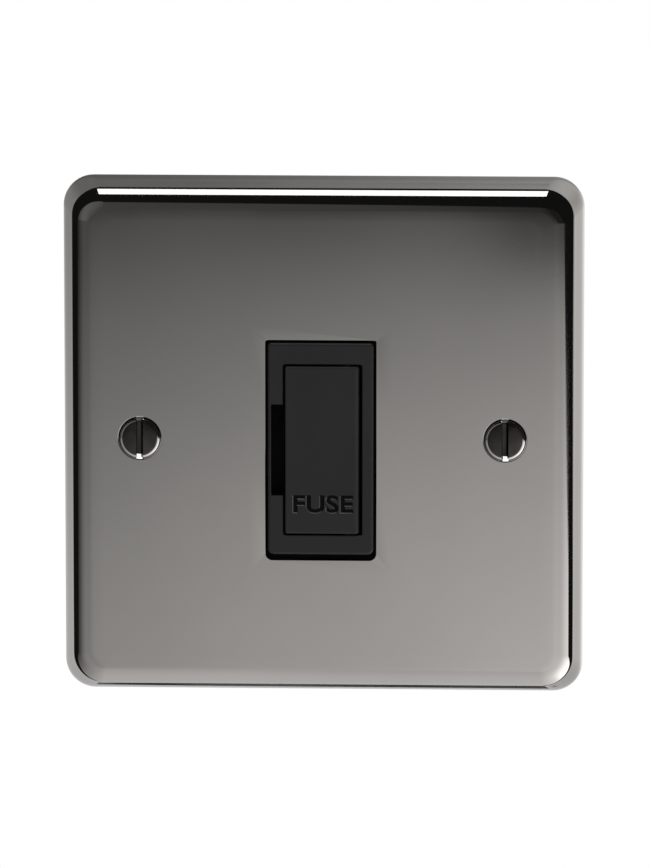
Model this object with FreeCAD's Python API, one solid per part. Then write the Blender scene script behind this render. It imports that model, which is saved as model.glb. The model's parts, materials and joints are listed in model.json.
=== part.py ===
"""Unswitched fused spur unit: a pressed metal wall plate with a moulded fuse holder behind it.

X is to the right, Y into the wall and Z up. The origin is midway between the two fixing screws,
in the plane where the plate's rim meets the wall, so the plate stands at negative Y and the
mouldings and terminals reach into the wall box at positive Y. All sizes are in millimetres.
"""

import FreeCAD
import Part
import math
import os

Vector = FreeCAD.Vector

# Wall plate, pressed from sheet as a shallow tray.
plate_height = 86.0
plate_depth = 6.5
plate_wall = 1.0
rim_lip = 0.6
rim_corner_radius = 5.0
skirt_lean = 2.3
shoulder_radius = 3.3
aperture_gap = 0.4
aperture_gap_below = 1.0
aperture_top_radius = 0.3
aperture_bottom_radius = 1.2

# Fixing screws, which hold the unit on its wall box.
fixing_spacing = 60.3
fixing_margin = 12.85
fixing_thread_radius = 1.75
fixing_root_radius = 1.5
fixing_runout_gap = 0.3
fixing_head_radius = 3.5
fixing_head_rise = 0.5
fixing_rim_radius = 0.3
fixing_length = 25.0
fixing_slot_width = 1.1
fixing_slot_depth = 1.3
fixing_hole_gap = 0.25
countersink_gap = 0.06
dimple_skin = 0.6

# Cartridge fuse.
fuse_length = 25.4
fuse_cap_radius = 3.175
fuse_cap_length = 6.0
fuse_cap_wall = 0.35
fuse_cap_fit = 0.03

# Fuse carrier, which turns out on two pins behind its right edge.
carrier_width = 12.25
carrier_proud = 0.3
door_wall = 2.2
door_edge_radius = 0.5
hinge_edge_radius = 1.1
hinge_inset = 1.9
hinge_edge_gap = 0.45
carrier_gap = 0.3
cheek_wall = 1.0
cheek_overhang = 1.2
cheek_cover = 2.5
pin_radius = 1.0
pin_length = 1.4
pin_gap = 0.08
fuse_end_gap = 0.25
fuse_seat_gap = 0.3
cradle_end_gap = 0.7
cradle_wall = 1.0
cradle_gap = 0.06
cradle_mouth_angle = 120.0
cradle_web_width = 4.6
swing_gap = 0.45

# Carrier frame, the moulding that shows through the plate.
frame_left = 2.55
frame_right = 1.9
frame_top = 3.55
frame_bottom = 3.25
frame_proud = 0.6
frame_edge_radius = 0.45
frame_top_radius = 0.5
frame_bottom_radius = 1.0
frame_centre_z = -1.75
flange_wall = 2.0
pocket_wall = 1.2
floor_gap = 0.5
floor_wall = 1.5
stem_gap = 0.3
prise_slot_rim = 0.55
prise_slot_length = 15.2
prise_slot_floor = 0.8
rail_overhang = 0.6
rail_wall = 1.2

# Copper alloy strip parts.
strip_wall = 0.8
clip_gap = 0.2
clip_wrap_angle = 150.0
clip_end_inset = 0.7
link_width = 4.5
link_end_radius = 1.1
eyelet_radius = 2.9
eyelet_gap = 0.3
foot_side_gap = 0.5

# Terminal blocks and their screws.
row_gap = 0.3
block_side_wall = 1.3
block_length = 8.5
block_chamfer = 0.4
wire_bore_radius = 2.1
wire_bore_floor = 1.2
terminal_thread_radius = 1.75
terminal_thread_length = 2.6
terminal_thread_gap = 0.05
terminal_head_radius = 2.8
terminal_head_height = 2.0
terminal_slot_width = 0.8
terminal_slot_depth = 1.0
smallest_wire = 1.0
terminal_head_lift = 0.2
terminal_tip_lift = 0.1
terminal_chamfer = 0.4

# Terminal housing at the back, which fits between the fixing screws.
housing_screw_gap = 3.3
housing_wall = 1.6
housing_back_wall = 1.8
housing_corner_radius = 3.0
housing_edge_radius = 0.8
housing_wire_gap = 1.0
well_gap = 0.45
well_wall = 1.0
well_rim = 0.6
barrier_wall = 1.2
barrier_gap = 0.3
port_gap = 0.5
port_flare = 0.8

# Pillars on the plate and the screws that draw the mouldings onto them.
pillar_radius = 2.4
pillar_gap = 0.3
pillar_thread_depth = 6.0
boss_wall = 1.0
boss_gap = 0.5
assembly_thread_radius = 1.5
assembly_thread_gap = 0.06
assembly_hole_gap = 0.2
assembly_head_radius = 2.7
assembly_head_height = 1.9
assembly_head_edge_radius = 0.6
assembly_head_gap = 0.3
assembly_head_sink = 0.8
assembly_tip_gap = 0.8
assembly_slot_width = 0.8
assembly_slot_depth = 0.9

# Depths, from the front of the plate to the back of the housing.
plate_front = -plate_depth
plate_back = plate_front + plate_wall
frame_front = plate_front - frame_proud
door_front = frame_front - carrier_proud
door_back = door_front + door_wall
flange_back = plate_back + flange_wall
fuse_y = door_back + fuse_seat_gap + fuse_cap_radius
cheek_back = fuse_y + cheek_cover
prise_slot_back = flange_back - prise_slot_floor
clip_inner_radius = fuse_cap_radius + clip_gap
clip_outer_radius = clip_inner_radius + strip_wall
floor_front = fuse_y + clip_outer_radius + floor_gap
floor_back = floor_front + floor_wall
block_front = floor_back + strip_wall
wire_y = block_front + wire_bore_floor + wire_bore_radius
block_back = wire_y + wire_bore_radius + terminal_thread_length
tip_y = wire_y + wire_bore_radius + terminal_tip_lift
terminal_travel = 2 * wire_bore_radius + terminal_tip_lift - smallest_wire
head_seat_y = block_back + terminal_head_lift + terminal_travel
housing_back = head_seat_y + terminal_head_height + well_rim
housing_inside_back = housing_back - housing_back_wall

# Places across the front: the carrier, its opening, the frame and the hole in the plate.
door_height = fuse_length + 2 * (fuse_end_gap + cheek_wall)
door_left = -carrier_width / 2
door_right = carrier_width / 2
opening_left = door_left - carrier_gap
opening_right = door_right + hinge_edge_gap
opening_top = frame_centre_z + door_height / 2 + carrier_gap
opening_bottom = frame_centre_z - door_height / 2 - carrier_gap
frame_outer_left = opening_left - frame_left
frame_outer_right = opening_right + frame_right
frame_outer_top = opening_top + frame_top
frame_outer_bottom = opening_bottom - frame_bottom
prise_slot_width = frame_left - prise_slot_rim

# The pivot, and the fuse as near the carrier's free edge as the swing past the frame allows.
pivot_x = door_right - hinge_inset
pivot_y = door_front + hinge_inset
swing_radius = pivot_x - opening_left - swing_gap
fuse_x = pivot_x - math.sqrt((swing_radius - fuse_cap_radius) ** 2 - (fuse_y - pivot_y) ** 2)
barrel_radius = fuse_cap_radius - fuse_cap_wall - fuse_cap_fit
cradle_half_length = fuse_length / 2 - fuse_cap_length - cradle_end_gap
clip_width = fuse_cap_length - 2 * clip_end_inset
clip_offset = fuse_length / 2 - fuse_cap_length / 2
clip_upper_z = frame_centre_z + clip_offset
clip_lower_z = frame_centre_z - clip_offset

# Places at the back: the housing between the fixing screws, the pillars and the terminals.
plate_width = fixing_spacing + 2 * fixing_margin
fixing_x = fixing_spacing / 2
fixing_hole_radius = fixing_thread_radius + fixing_hole_gap
housing_half_width = fixing_x - fixing_thread_radius - housing_screw_gap
pillar_x = housing_half_width - housing_wall - eyelet_gap - eyelet_radius
head_seat_radius = assembly_head_radius + assembly_head_gap
boss_radius = head_seat_radius + boss_wall
terminal_pitch = pillar_x - boss_radius - boss_gap - link_width / 2
block_width = 2 * (wire_bore_radius + block_side_wall)
terminal_row = -clip_lower_z + clip_width / 2 + row_gap + block_length / 2
housing_half_height = terminal_row + block_length / 2 + housing_wire_gap + housing_wall

# Bodies of the poles: name, place across and whether it is the supply (upper) or load row.
poles = {"neutral": -terminal_pitch, "live": 0.0, "earth": terminal_pitch}
rows = {"supply": terminal_row, "load": -terminal_row}


def box(x_range, y_range, z_range):
    """A block between three pairs of limits."""
    (x0, x1), (y0, y1), (z0, z1) = x_range, y_range, z_range
    return Part.makeBox(x1 - x0, y1 - y0, z1 - z0, Vector(x0, y0, z0))


def cylinder_y(radius, x, z, y0, y1):
    """A round bar along Y."""
    return Part.makeCylinder(radius, y1 - y0, Vector(x, y0, z), Vector(0, 1, 0))


def cylinder_z(radius, x, y, z0, z1):
    """A round bar along Z."""
    return Part.makeCylinder(radius, z1 - z0, Vector(x, y, z0), Vector(0, 0, 1))


def cone_y(radius0, radius1, x, z, y0, y1):
    """A cone along Y, from radius0 at y0 to radius1 at y1."""
    return Part.makeCone(radius0, radius1, y1 - y0, Vector(x, y0, z), Vector(0, 1, 0))


def rounded_outline(x_range, z_range, radii, y):
    """A closed rectangle facing along Y, whose upper and lower corners have the two radii."""
    (x0, x1), (z0, z1), (upper, lower) = x_range, z_range, radii
    corners = [
        (x1 - upper, z1 - upper, upper, 0),
        (x0 + upper, z1 - upper, upper, 90),
        (x0 + lower, z0 + lower, lower, 180),
        (x1 - lower, z0 + lower, lower, 270),
    ]
    arcs = []
    for x, z, radius, start in corners:
        points = [
            Vector(
                x + radius * math.cos(math.radians(start + turn)),
                y,
                z + radius * math.sin(math.radians(start + turn)),
            )
            for turn in (0, 45, 90)
        ]
        arcs.append(Part.Arc(*points))
    edges = []
    for arc, following in zip(arcs, arcs[1:] + arcs[:1]):
        edges.append(arc.toShape())
        edges.append(Part.makeLine(arc.EndPoint, following.StartPoint))
    return Part.Wire(edges)


def rounded_slab(x_range, y_range, z_range, upper_radius, lower_radius=None):
    """A block whose four edges along Y are round, the lower two as the upper unless told."""
    y0, y1 = y_range
    radii = (upper_radius, upper_radius if lower_radius is None else lower_radius)
    outline = rounded_outline(x_range, z_range, radii, y0)
    return Part.Face(outline).extrude(Vector(0, y1 - y0, 0))


def band(centre, inner_radius, outer_radius, start_angle, sweep_angle, z0, z1):
    """Part of a tube about Z, from start_angle through sweep_angle, in degrees from X towards Y."""

    def at(radius, angle):
        turn = math.radians(angle)
        return Vector(
            centre[0] + radius * math.cos(turn), centre[1] + radius * math.sin(turn), z0
        )

    middle = start_angle + sweep_angle / 2
    end = start_angle + sweep_angle
    outline = Part.Wire(
        [
            Part.Arc(at(outer_radius, start_angle), at(outer_radius, middle),
                     at(outer_radius, end)).toShape(),
            Part.makeLine(at(outer_radius, end), at(inner_radius, end)),
            Part.Arc(at(inner_radius, end), at(inner_radius, middle),
                     at(inner_radius, start_angle)).toShape(),
            Part.makeLine(at(inner_radius, start_angle), at(outer_radius, start_angle)),
        ]
    )
    return Part.Face(outline).extrude(Vector(0, 0, z1 - z0))


def edges_on_plane(shape, y):
    """Edges that lie wholly in the plane at depth y."""
    return [e for e in shape.Edges if all(abs(v.Y - y) < 1e-6 for v in e.Vertexes)]


def tray_form(inset, depth, fillet_radius):
    """The plate's outer or inner form: an upright lip, a leaning skirt and a rounded shoulder."""
    half_width = plate_width / 2 - inset
    half_height = plate_height / 2 - inset
    rim_radius = rim_corner_radius - inset
    lean = skirt_lean
    rim = ((-half_width, half_width), (-half_height, half_height))
    front = (
        (-half_width + lean, half_width - lean),
        (-half_height + lean, half_height - lean),
    )
    lip = rounded_slab(rim[0], (-rim_lip, 0), rim[1], rim_radius)
    skirt = Part.makeLoft(
        [
            rounded_outline(*rim, (rim_radius, rim_radius), -rim_lip),
            rounded_outline(*front, (rim_radius, rim_radius), -depth),
        ],
        True,
        True,
    )
    tray = lip.fuse(skirt).removeSplitter()
    return tray.makeFillet(fillet_radius, edges_on_plane(tray, -depth))


def front_plate():
    """The pressed plate, with its hole for the carrier frame and a dimple for each fixing screw."""
    lean_angle = math.atan2(skirt_lean, plate_depth - rim_lip)
    skin = plate_wall / math.cos(lean_angle)
    plate = tray_form(0, plate_depth, shoulder_radius)
    mouth_radius = fixing_head_radius + countersink_gap
    cone_end = plate_front + mouth_radius - fixing_hole_radius
    dimple_end = cone_end + dimple_skin
    hollow = tray_form(skin, plate_depth - plate_wall, shoulder_radius - plate_wall)
    for side in (-1, 1):
        base_radius = mouth_radius + dimple_skin
        end_radius = base_radius - (dimple_end - plate_back)
        hollow = hollow.cut(
            cone_y(base_radius, end_radius, side * fixing_x, 0, plate_back, dimple_end)
        )
    plate = plate.cut(hollow)
    for side in (-1, 1):
        x = side * fixing_x
        plate = plate.cut(cone_y(mouth_radius, fixing_hole_radius, x, 0, plate_front, cone_end))
        plate = plate.cut(cylinder_y(fixing_hole_radius, x, 0, plate_front, dimple_end))
    aperture = rounded_slab(
        (frame_outer_left - aperture_gap, frame_outer_right + aperture_gap),
        (plate_front, 0),
        (frame_outer_bottom - aperture_gap_below, frame_outer_top + aperture_gap),
        aperture_top_radius,
        aperture_bottom_radius,
    )
    return plate.cut(aperture)


def plate_pillars():
    """Two tapped pillars welded to the back of the plate."""
    pillars = []
    for side in (-1, 1):
        x = side * pillar_x
        pillar = cylinder_y(pillar_radius, x, 0, plate_back, floor_back)
        hole_radius = assembly_thread_radius + assembly_thread_gap
        tapped = cylinder_y(hole_radius, x, 0, floor_back - pillar_thread_depth, floor_back)
        pillars.append(pillar.cut(tapped))
    return Part.makeCompound(pillars)


def slotted(shape, x, z, y_top, slot_depth, slot_width, head_radius, towards_back):
    """Cuts a screwdriver slot, upright across a head whose top is at y_top."""
    sign = -1 if towards_back else 1
    y0, y1 = sorted((y_top - sign * head_radius, y_top + sign * slot_depth))
    slot = box(
        (x - slot_width / 2, x + slot_width / 2), (y0, y1), (z - head_radius, z + head_radius)
    )
    return shape.cut(slot)


def fixing_screws():
    """Two raised countersunk screws. Behind the plate their threads stand out towards the box."""
    top = plate_front - fixing_head_rise
    root_start = plate_front + fixing_head_radius - fixing_root_radius
    cone_end = plate_front + fixing_head_radius + countersink_gap - fixing_hole_radius
    thread_start = cone_end + dimple_skin + fixing_runout_gap
    tip = plate_front + fixing_length
    chord = fixing_head_radius - fixing_rim_radius
    dome_start = plate_front - fixing_rim_radius
    dome_rise = dome_start - top
    dome_radius = (chord**2 + dome_rise**2) / (2 * dome_rise)
    half_turn = math.asin(chord / dome_radius) / 2
    mid_dome = Vector(
        dome_radius * math.sin(half_turn), top + dome_radius * (1 - math.cos(half_turn)), 0
    )
    rim_slant = fixing_rim_radius * math.sqrt(0.5)
    mid_rim = Vector(chord + rim_slant, plate_front - rim_slant, 0)
    screws = []
    for side in (-1, 1):
        rim_start, rim_end = Vector(chord, dome_start, 0), Vector(fixing_head_radius, plate_front, 0)
        dome = Part.Arc(Vector(0, top, 0), mid_dome, rim_start).toShape()
        rim = Part.Arc(rim_start, mid_rim, rim_end).toShape()
        profile = Part.makePolygon(
            [
                rim_end,
                Vector(fixing_root_radius, root_start, 0),
                Vector(fixing_thread_radius, thread_start, 0),
                Vector(fixing_thread_radius, tip, 0),
                Vector(0, tip, 0),
                Vector(0, top, 0),
            ]
        )
        section = Part.Face(Part.Wire([dome, rim] + profile.Edges))
        screw = section.revolve(Vector(0, 0, 0), Vector(0, 1, 0), 360)
        screw.translate(Vector(side * fixing_x, 0, 0))
        screws.append(
            slotted(screw, side * fixing_x, 0, top, fixing_slot_depth, fixing_slot_width,
                    fixing_head_radius, False)
        )
    return Part.makeCompound(screws)


def fuse_barrel():
    """The fuse's ceramic tube, which ends inside the two caps."""
    half = fuse_length / 2 - fuse_cap_wall
    return cylinder_z(barrel_radius, fuse_x, fuse_y, frame_centre_z - half, frame_centre_z + half)


def fuse_cap(side):
    """A drawn metal cap over one end of the fuse."""
    end = frame_centre_z + side * fuse_length / 2
    mouth = end - side * fuse_cap_length
    inside = end - side * fuse_cap_wall
    cap = cylinder_z(fuse_cap_radius, fuse_x, fuse_y, *sorted((mouth, end)))
    edge = [e for e in cap.Edges if all(abs(v.Z - end) < 1e-6 for v in e.Vertexes)]
    cap = cap.makeFillet(fuse_cap_wall, [e for e in edge if e.Length > fuse_cap_radius])
    inner_radius = barrel_radius + fuse_cap_fit
    return cap.cut(cylinder_z(inner_radius, fuse_x, fuse_y, *sorted((mouth, inside))))


def carrier_door():
    """The part of the carrier that shows: a thick plate, rounder along its hinge edge."""
    half = door_height / 2
    door = box(
        (door_left, door_right),
        (door_front, door_back),
        (frame_centre_z - half, frame_centre_z + half),
    )
    front_edges = edges_on_plane(door, door_front)
    hinge_edge = [e for e in front_edges if all(v.X > door_right - 1e-6 for v in e.Vertexes)]
    door = door.makeFillet(hinge_edge_radius, hinge_edge)
    others = [
        e
        for e in edges_on_plane(door, door_front)
        if not all(v.X > door_right - hinge_edge_radius - 1e-6 for v in e.Vertexes)
    ]
    return door.makeFillet(door_edge_radius, others)


def fuse_carrier():
    """The carrier: its door, two end cheeks with pivot pins, and a cradle that grips the fuse."""
    half = door_height / 2
    swing = (pivot_x, pivot_y)
    carrier = carrier_door()
    for side in (-1, 1):
        outer = frame_centre_z + side * half
        inner = outer - side * cheek_wall
        z0, z1 = sorted((inner, outer))
        cheek = box(
            (door_left, pivot_x + cheek_overhang), (door_back, cheek_back), (z0, z1)
        )
        reach = cylinder_z(swing_radius, *swing, z0, z1)
        carrier = carrier.fuse(cheek.common(reach))
        pin_end = outer + side * pin_length
        carrier = carrier.fuse(cylinder_z(pin_radius, *swing, *sorted((inner, pin_end))))
    z0 = frame_centre_z - cradle_half_length
    z1 = frame_centre_z + cradle_half_length
    grip_radius = barrel_radius + cradle_gap
    away = math.degrees(math.atan2(fuse_y - pivot_y, fuse_x - pivot_x))
    jaws = band(
        (fuse_x, fuse_y),
        grip_radius,
        grip_radius + cradle_wall,
        away + cradle_mouth_angle / 2,
        360 - cradle_mouth_angle,
        z0,
        z1,
    )
    web = box(
        (fuse_x - cradle_web_width / 2, fuse_x + cradle_web_width / 2),
        (door_back, fuse_y),
        (z0, z1),
    ).cut(cylinder_z(grip_radius, fuse_x, fuse_y, z0, z1))
    return carrier.fuse([jaws, web]).removeSplitter()


def front_housing():
    """The carrier frame, its flange behind the plate, the pocket and the rails for the links."""
    frame = rounded_slab(
        (frame_outer_left, frame_outer_right),
        (frame_front, flange_back),
        (frame_outer_bottom, frame_outer_top),
        frame_top_radius,
        frame_bottom_radius,
    )
    frame = frame.makeFillet(frame_edge_radius, edges_on_plane(frame, frame_front))
    width = (-housing_half_width, housing_half_width)
    height = (-housing_half_height, housing_half_height)
    flange = rounded_slab(width, (plate_back, flange_back), height, housing_corner_radius)
    pocket = box(
        (opening_left - pocket_wall, opening_right + pocket_wall),
        (plate_back, floor_back),
        (opening_bottom - pocket_wall, opening_top + pocket_wall),
    )
    housing = frame.fuse([flange, pocket])
    rail_half = link_width / 2 + rail_overhang
    rail_end = terminal_row + block_length / 2
    core_half = rail_half - rail_wall
    core_end = terminal_row - block_length / 2 - rail_wall
    cuts = []
    for x in (poles["neutral"], poles["earth"]):
        housing = housing.fuse(
            box((x - rail_half, x + rail_half), (plate_back, floor_back), (-rail_end, rail_end))
        )
        for z_range in ((-core_end, -rail_wall / 2), (rail_wall / 2, core_end)):
            cuts.append(box((x - core_half, x + core_half), (flange_back, floor_back), z_range))
    housing = housing.fuse(
        box((-block_width / 2, block_width / 2), (plate_back, floor_back), (-rail_end, rail_end))
    )
    opening = box(
        (opening_left, opening_right), (frame_front, floor_front), (opening_bottom, opening_top)
    )
    prise_slot = box(
        (opening_left - prise_slot_width, opening_left),
        (frame_front, prise_slot_back),
        (frame_centre_z - prise_slot_length / 2, frame_centre_z + prise_slot_length / 2),
    )
    sockets = cylinder_z(
        pin_radius + pin_gap,
        pivot_x,
        pivot_y,
        opening_bottom - pin_length,
        opening_top + pin_length,
    )
    cuts += [opening, prise_slot, sockets]
    for z in (clip_upper_z, clip_lower_z):
        half = clip_width / 2 + stem_gap
        stem = (fuse_x - strip_wall / 2 - stem_gap, fuse_x + strip_wall / 2 + stem_gap)
        cuts.append(box(stem, (floor_front, floor_back), (z - half, z + half)))
    for side in (-1, 1):
        cuts.append(
            cylinder_y(pillar_radius + pillar_gap, side * pillar_x, 0, plate_back, flange_back)
        )
    return housing.cut(cuts).removeSplitter()


def rear_housing():
    """The terminal housing: an open box with screw wells, wire ports and barriers."""
    width = (-housing_half_width, housing_half_width)
    height = (-housing_half_height, housing_half_height)
    shell = rounded_slab(width, (flange_back, housing_back), height, housing_corner_radius)
    shell = shell.makeFillet(housing_edge_radius, edges_on_plane(shell, housing_back))
    inner_width = (width[0] + housing_wall, width[1] - housing_wall)
    inner_height = (height[0] + housing_wall, height[1] - housing_wall)
    cavity = rounded_slab(
        inner_width,
        (flange_back, housing_inside_back),
        inner_height,
        housing_corner_radius - housing_wall,
    )
    shell = shell.cut(cavity)
    well_radius = terminal_head_radius + well_gap
    added, cuts = [], []
    for x in poles.values():
        for z in rows.values():
            collar = cylinder_y(well_radius + well_wall, x, z, block_back, housing_inside_back)
            added.append(collar)
            cuts.append(cylinder_y(well_radius, x, z, block_back, housing_back))
            outward = 1 if z > 0 else -1
            wall_in = outward * (housing_half_height - housing_wall)
            wall_out = outward * housing_half_height
            port_radius = wire_bore_radius + port_gap
            cuts.append(cylinder_z(port_radius, x, wire_y, *sorted((wall_in, wall_out))))
            flare = Part.makeCone(
                port_radius,
                port_radius + port_flare,
                port_flare,
                Vector(x, wire_y, wall_out - outward * port_flare),
                Vector(0, 0, outward),
            )
            cuts.append(flare)
    for x in (-terminal_pitch / 2, terminal_pitch / 2):
        for side in (-1, 1):
            inner_end = side * (terminal_row - block_length / 2 - housing_wire_gap)
            outer_end = side * (housing_half_height - housing_wall / 2)
            added.append(
                box(
                    (x - barrier_wall / 2, x + barrier_wall / 2),
                    (floor_back + barrier_gap, housing_inside_back),
                    sorted((inner_end, outer_end)),
                )
            )
    for side in (-1, 1):
        x = side * pillar_x
        boss_start = block_front if side > 0 else floor_back
        added.append(cylinder_y(boss_radius, x, 0, boss_start, housing_inside_back))
        hole_radius = assembly_thread_radius + assembly_hole_gap
        cuts.append(cylinder_y(hole_radius, x, 0, boss_start, housing_back))
        seat = housing_back - assembly_head_sink - assembly_head_height
        cuts.append(cylinder_y(head_seat_radius, x, 0, seat, housing_back))
    return shell.fuse(added).cut(cuts).removeSplitter()


def fuse_clip(z, row_z):
    """A strip contact: a spring seat round the fuse's cap, a stem through the floor and a foot."""
    z0, z1 = z - clip_width / 2, z + clip_width / 2
    out_x = fuse_y - pivot_y
    out_y = pivot_x - fuse_x
    middle = math.degrees(math.atan2(out_y, out_x))
    seat = band(
        (fuse_x, fuse_y),
        clip_inner_radius,
        clip_outer_radius,
        middle - clip_wrap_angle / 2,
        clip_wrap_angle,
        z0,
        z1,
    )
    stem = box(
        (fuse_x - strip_wall / 2, fuse_x + strip_wall / 2),
        (fuse_y + clip_inner_radius + strip_wall / 2, block_front),
        (z0, z1),
    )
    outer_z = row_z + math.copysign(block_length / 2, row_z)
    foot_z = sorted((outer_z, z0 if row_z > 0 else z1))
    foot = box(
        (fuse_x - strip_wall / 2, block_width / 2 - foot_side_gap),
        (floor_back, block_front),
        foot_z,
    )
    return seat.fuse([stem, foot]).removeSplitter()


def link_strip(x):
    """A flat bar that joins the upper and lower blocks of one pole."""
    end = terminal_row + block_length / 2
    return rounded_slab(
        (x - link_width / 2, x + link_width / 2),
        (floor_back, block_front),
        (-end, end),
        link_end_radius,
    )


def earth_link():
    """The earth poles' bar, with an arm to the pillar so that the plate is earthed."""
    bar = link_strip(poles["earth"])
    arm = box(
        (poles["earth"], pillar_x), (floor_back, block_front), (-link_width / 2, link_width / 2)
    )
    eyelet = cylinder_y(eyelet_radius, pillar_x, 0, floor_back, block_front)
    hole_radius = assembly_thread_radius + assembly_hole_gap
    hole = cylinder_y(hole_radius, pillar_x, 0, floor_back, block_front)
    return bar.fuse([arm, eyelet]).cut(hole).removeSplitter()


def terminal_block(x, z):
    """A brass block with a bore for the wire and a tapped hole for its screw."""
    block = box(
        (x - block_width / 2, x + block_width / 2),
        (block_front, block_back),
        (z - block_length / 2, z + block_length / 2),
    )
    block = block.makeChamfer(block_chamfer, edges_on_plane(block, block_back))
    bore = cylinder_z(wire_bore_radius, x, wire_y, z - block_length / 2, z + block_length / 2)
    tapped = cylinder_y(terminal_thread_radius + terminal_thread_gap, x, z, wire_y, block_back)
    return block.cut([bore, tapped])


def terminal_screw(x, z):
    """A clamp screw, backed out so that its tip is clear of the wire bore."""
    head_top = head_seat_y + terminal_head_height
    shank = cylinder_y(terminal_thread_radius, x, z, tip_y, head_seat_y)
    tip_edges = [e for e in edges_on_plane(shank, tip_y) if e.Length > terminal_thread_radius]
    shank = shank.makeChamfer(terminal_chamfer, tip_edges)
    head = cylinder_y(terminal_head_radius, x, z, head_seat_y, head_top)
    head_edges = [e for e in edges_on_plane(head, head_top) if e.Length > terminal_head_radius]
    head = head.makeChamfer(terminal_chamfer, head_edges)
    screw = shank.fuse(head).removeSplitter()
    return slotted(screw, x, z, head_top, terminal_slot_depth, terminal_slot_width,
                   terminal_head_radius, True)


def assembly_screws():
    """Two screws that draw both mouldings onto the plate's pillars."""
    seat = housing_back - assembly_head_sink - assembly_head_height
    head_top = seat + assembly_head_height
    tip = floor_back - pillar_thread_depth + assembly_tip_gap
    screws = []
    for side in (-1, 1):
        x = side * pillar_x
        head = cylinder_y(assembly_head_radius, x, 0, seat, head_top)
        top_edges = [e for e in edges_on_plane(head, head_top) if e.Length > assembly_head_radius]
        head = head.makeFillet(assembly_head_edge_radius, top_edges)
        screw = head.fuse(cylinder_y(assembly_thread_radius, x, 0, tip, seat)).removeSplitter()
        screws.append(
            slotted(screw, x, 0, head_top, assembly_slot_depth, assembly_slot_width,
                    assembly_head_radius, True)
        )
    return Part.makeCompound(screws)


def sub_parts():
    """Every node of the unit, by name."""
    made = {
        "front_plate": front_plate(),
        "plate_pillars": plate_pillars(),
        "fixing_screws": fixing_screws(),
        "front_housing": front_housing(),
        "rear_housing": rear_housing(),
        "fuse_carrier": fuse_carrier(),
        "fuse_barrel": fuse_barrel(),
        "fuse_cap_upper": fuse_cap(1),
        "fuse_cap_lower": fuse_cap(-1),
        "supply_fuse_clip": fuse_clip(clip_upper_z, rows["supply"]),
        "load_fuse_clip": fuse_clip(clip_lower_z, rows["load"]),
        "neutral_link": link_strip(poles["neutral"]),
        "earth_link": earth_link(),
        "assembly_screws": assembly_screws(),
    }
    for pole, x in poles.items():
        for row, z in rows.items():
            made[f"{pole}_{row}_terminal"] = terminal_block(x, z)
            made[f"{pole}_{row}_screw"] = terminal_screw(x, z)
    return made


os.makedirs("parts", exist_ok=True)
for node, shape in sub_parts().items():
    shape.exportStep(f"parts/{node}.step")
    print(node, "valid" if shape.isValid() else "NOT VALID", len(shape.Solids), round(shape.Volume, 2))
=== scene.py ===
"""The looks of the fused spur unit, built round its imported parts.

X is to the right, Y into the wall and Z up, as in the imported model. Each piece is modelled in
millimetres, as on a bench, and is brought to metres when it is finished.
"""

import json
import logging
import math
from contextlib import contextmanager
from dataclasses import dataclass
from enum import Enum
from functools import cache
from typing import Callable, Iterator, Optional, Sequence

import bmesh
import bpy
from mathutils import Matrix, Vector

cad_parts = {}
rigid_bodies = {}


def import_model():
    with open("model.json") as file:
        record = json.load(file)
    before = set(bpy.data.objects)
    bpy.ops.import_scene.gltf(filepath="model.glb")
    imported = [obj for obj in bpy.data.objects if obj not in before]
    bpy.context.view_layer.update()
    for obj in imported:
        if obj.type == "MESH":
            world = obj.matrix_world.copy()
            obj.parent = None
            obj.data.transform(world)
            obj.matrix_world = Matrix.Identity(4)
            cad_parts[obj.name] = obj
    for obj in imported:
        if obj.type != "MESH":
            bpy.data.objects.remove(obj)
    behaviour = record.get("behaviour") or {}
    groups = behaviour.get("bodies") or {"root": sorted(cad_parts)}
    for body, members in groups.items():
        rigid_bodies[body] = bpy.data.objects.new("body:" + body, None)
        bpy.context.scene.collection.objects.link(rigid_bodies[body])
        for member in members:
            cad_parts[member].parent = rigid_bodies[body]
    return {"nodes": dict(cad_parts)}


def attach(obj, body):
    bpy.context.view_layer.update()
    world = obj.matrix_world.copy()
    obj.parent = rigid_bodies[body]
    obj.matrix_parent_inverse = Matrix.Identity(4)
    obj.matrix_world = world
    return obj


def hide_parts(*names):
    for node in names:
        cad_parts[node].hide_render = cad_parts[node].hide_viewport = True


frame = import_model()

log = logging.getLogger("fused_spur_unit")

# A millimetre in metres; the sizes below it are in millimetres.
MM = 0.001
# How near two places are that count as one.
MERGE = 0.0005
# How far a cutter goes past the face that it cuts.
PAST = 1.0
# How deep one shape is sunk into another that it is fused to, and a thread into its stud.
SINK = 0.5
THREAD_SINK = 0.04
# The share of a direction that has to lie along an axis.
ALONG = 0.9
# Edges that turn more than this many degrees stay sharp.
SMOOTH_ANGLE = 32.0

Piece = bpy.types.Object
Socket = bpy.types.NodeSocket
Sockets = bpy.types.bpy_prop_collection
Tree = bpy.types.NodeTree
Point = tuple[float, float, float]
Pair = tuple[float, float]
Pairs = Sequence[Pair]


class Axis(Enum):
    """The axis that a round piece stands on."""

    Y = (0.0, 1.0, 0.0)
    Z = (0.0, 0.0, 1.0)


class Kind(Enum):
    """What a selection in edit mode is made of."""

    VERT = "verts"
    EDGE = "edges"
    FACE = "faces"


class Fit(Enum):
    """How a second shape is worked into the first."""

    CUT = "DIFFERENCE"
    FUSE = "UNION"
    COMMON = "INTERSECT"


class Fineness:
    """How many sides round pieces have, and how many facets rounds have."""

    pin, rod, screw, head, fuse, sweep = 32, 48, 56, 64, 72, 96
    crisp, small, edge, corner = 2, 4, 6, 8


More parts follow.
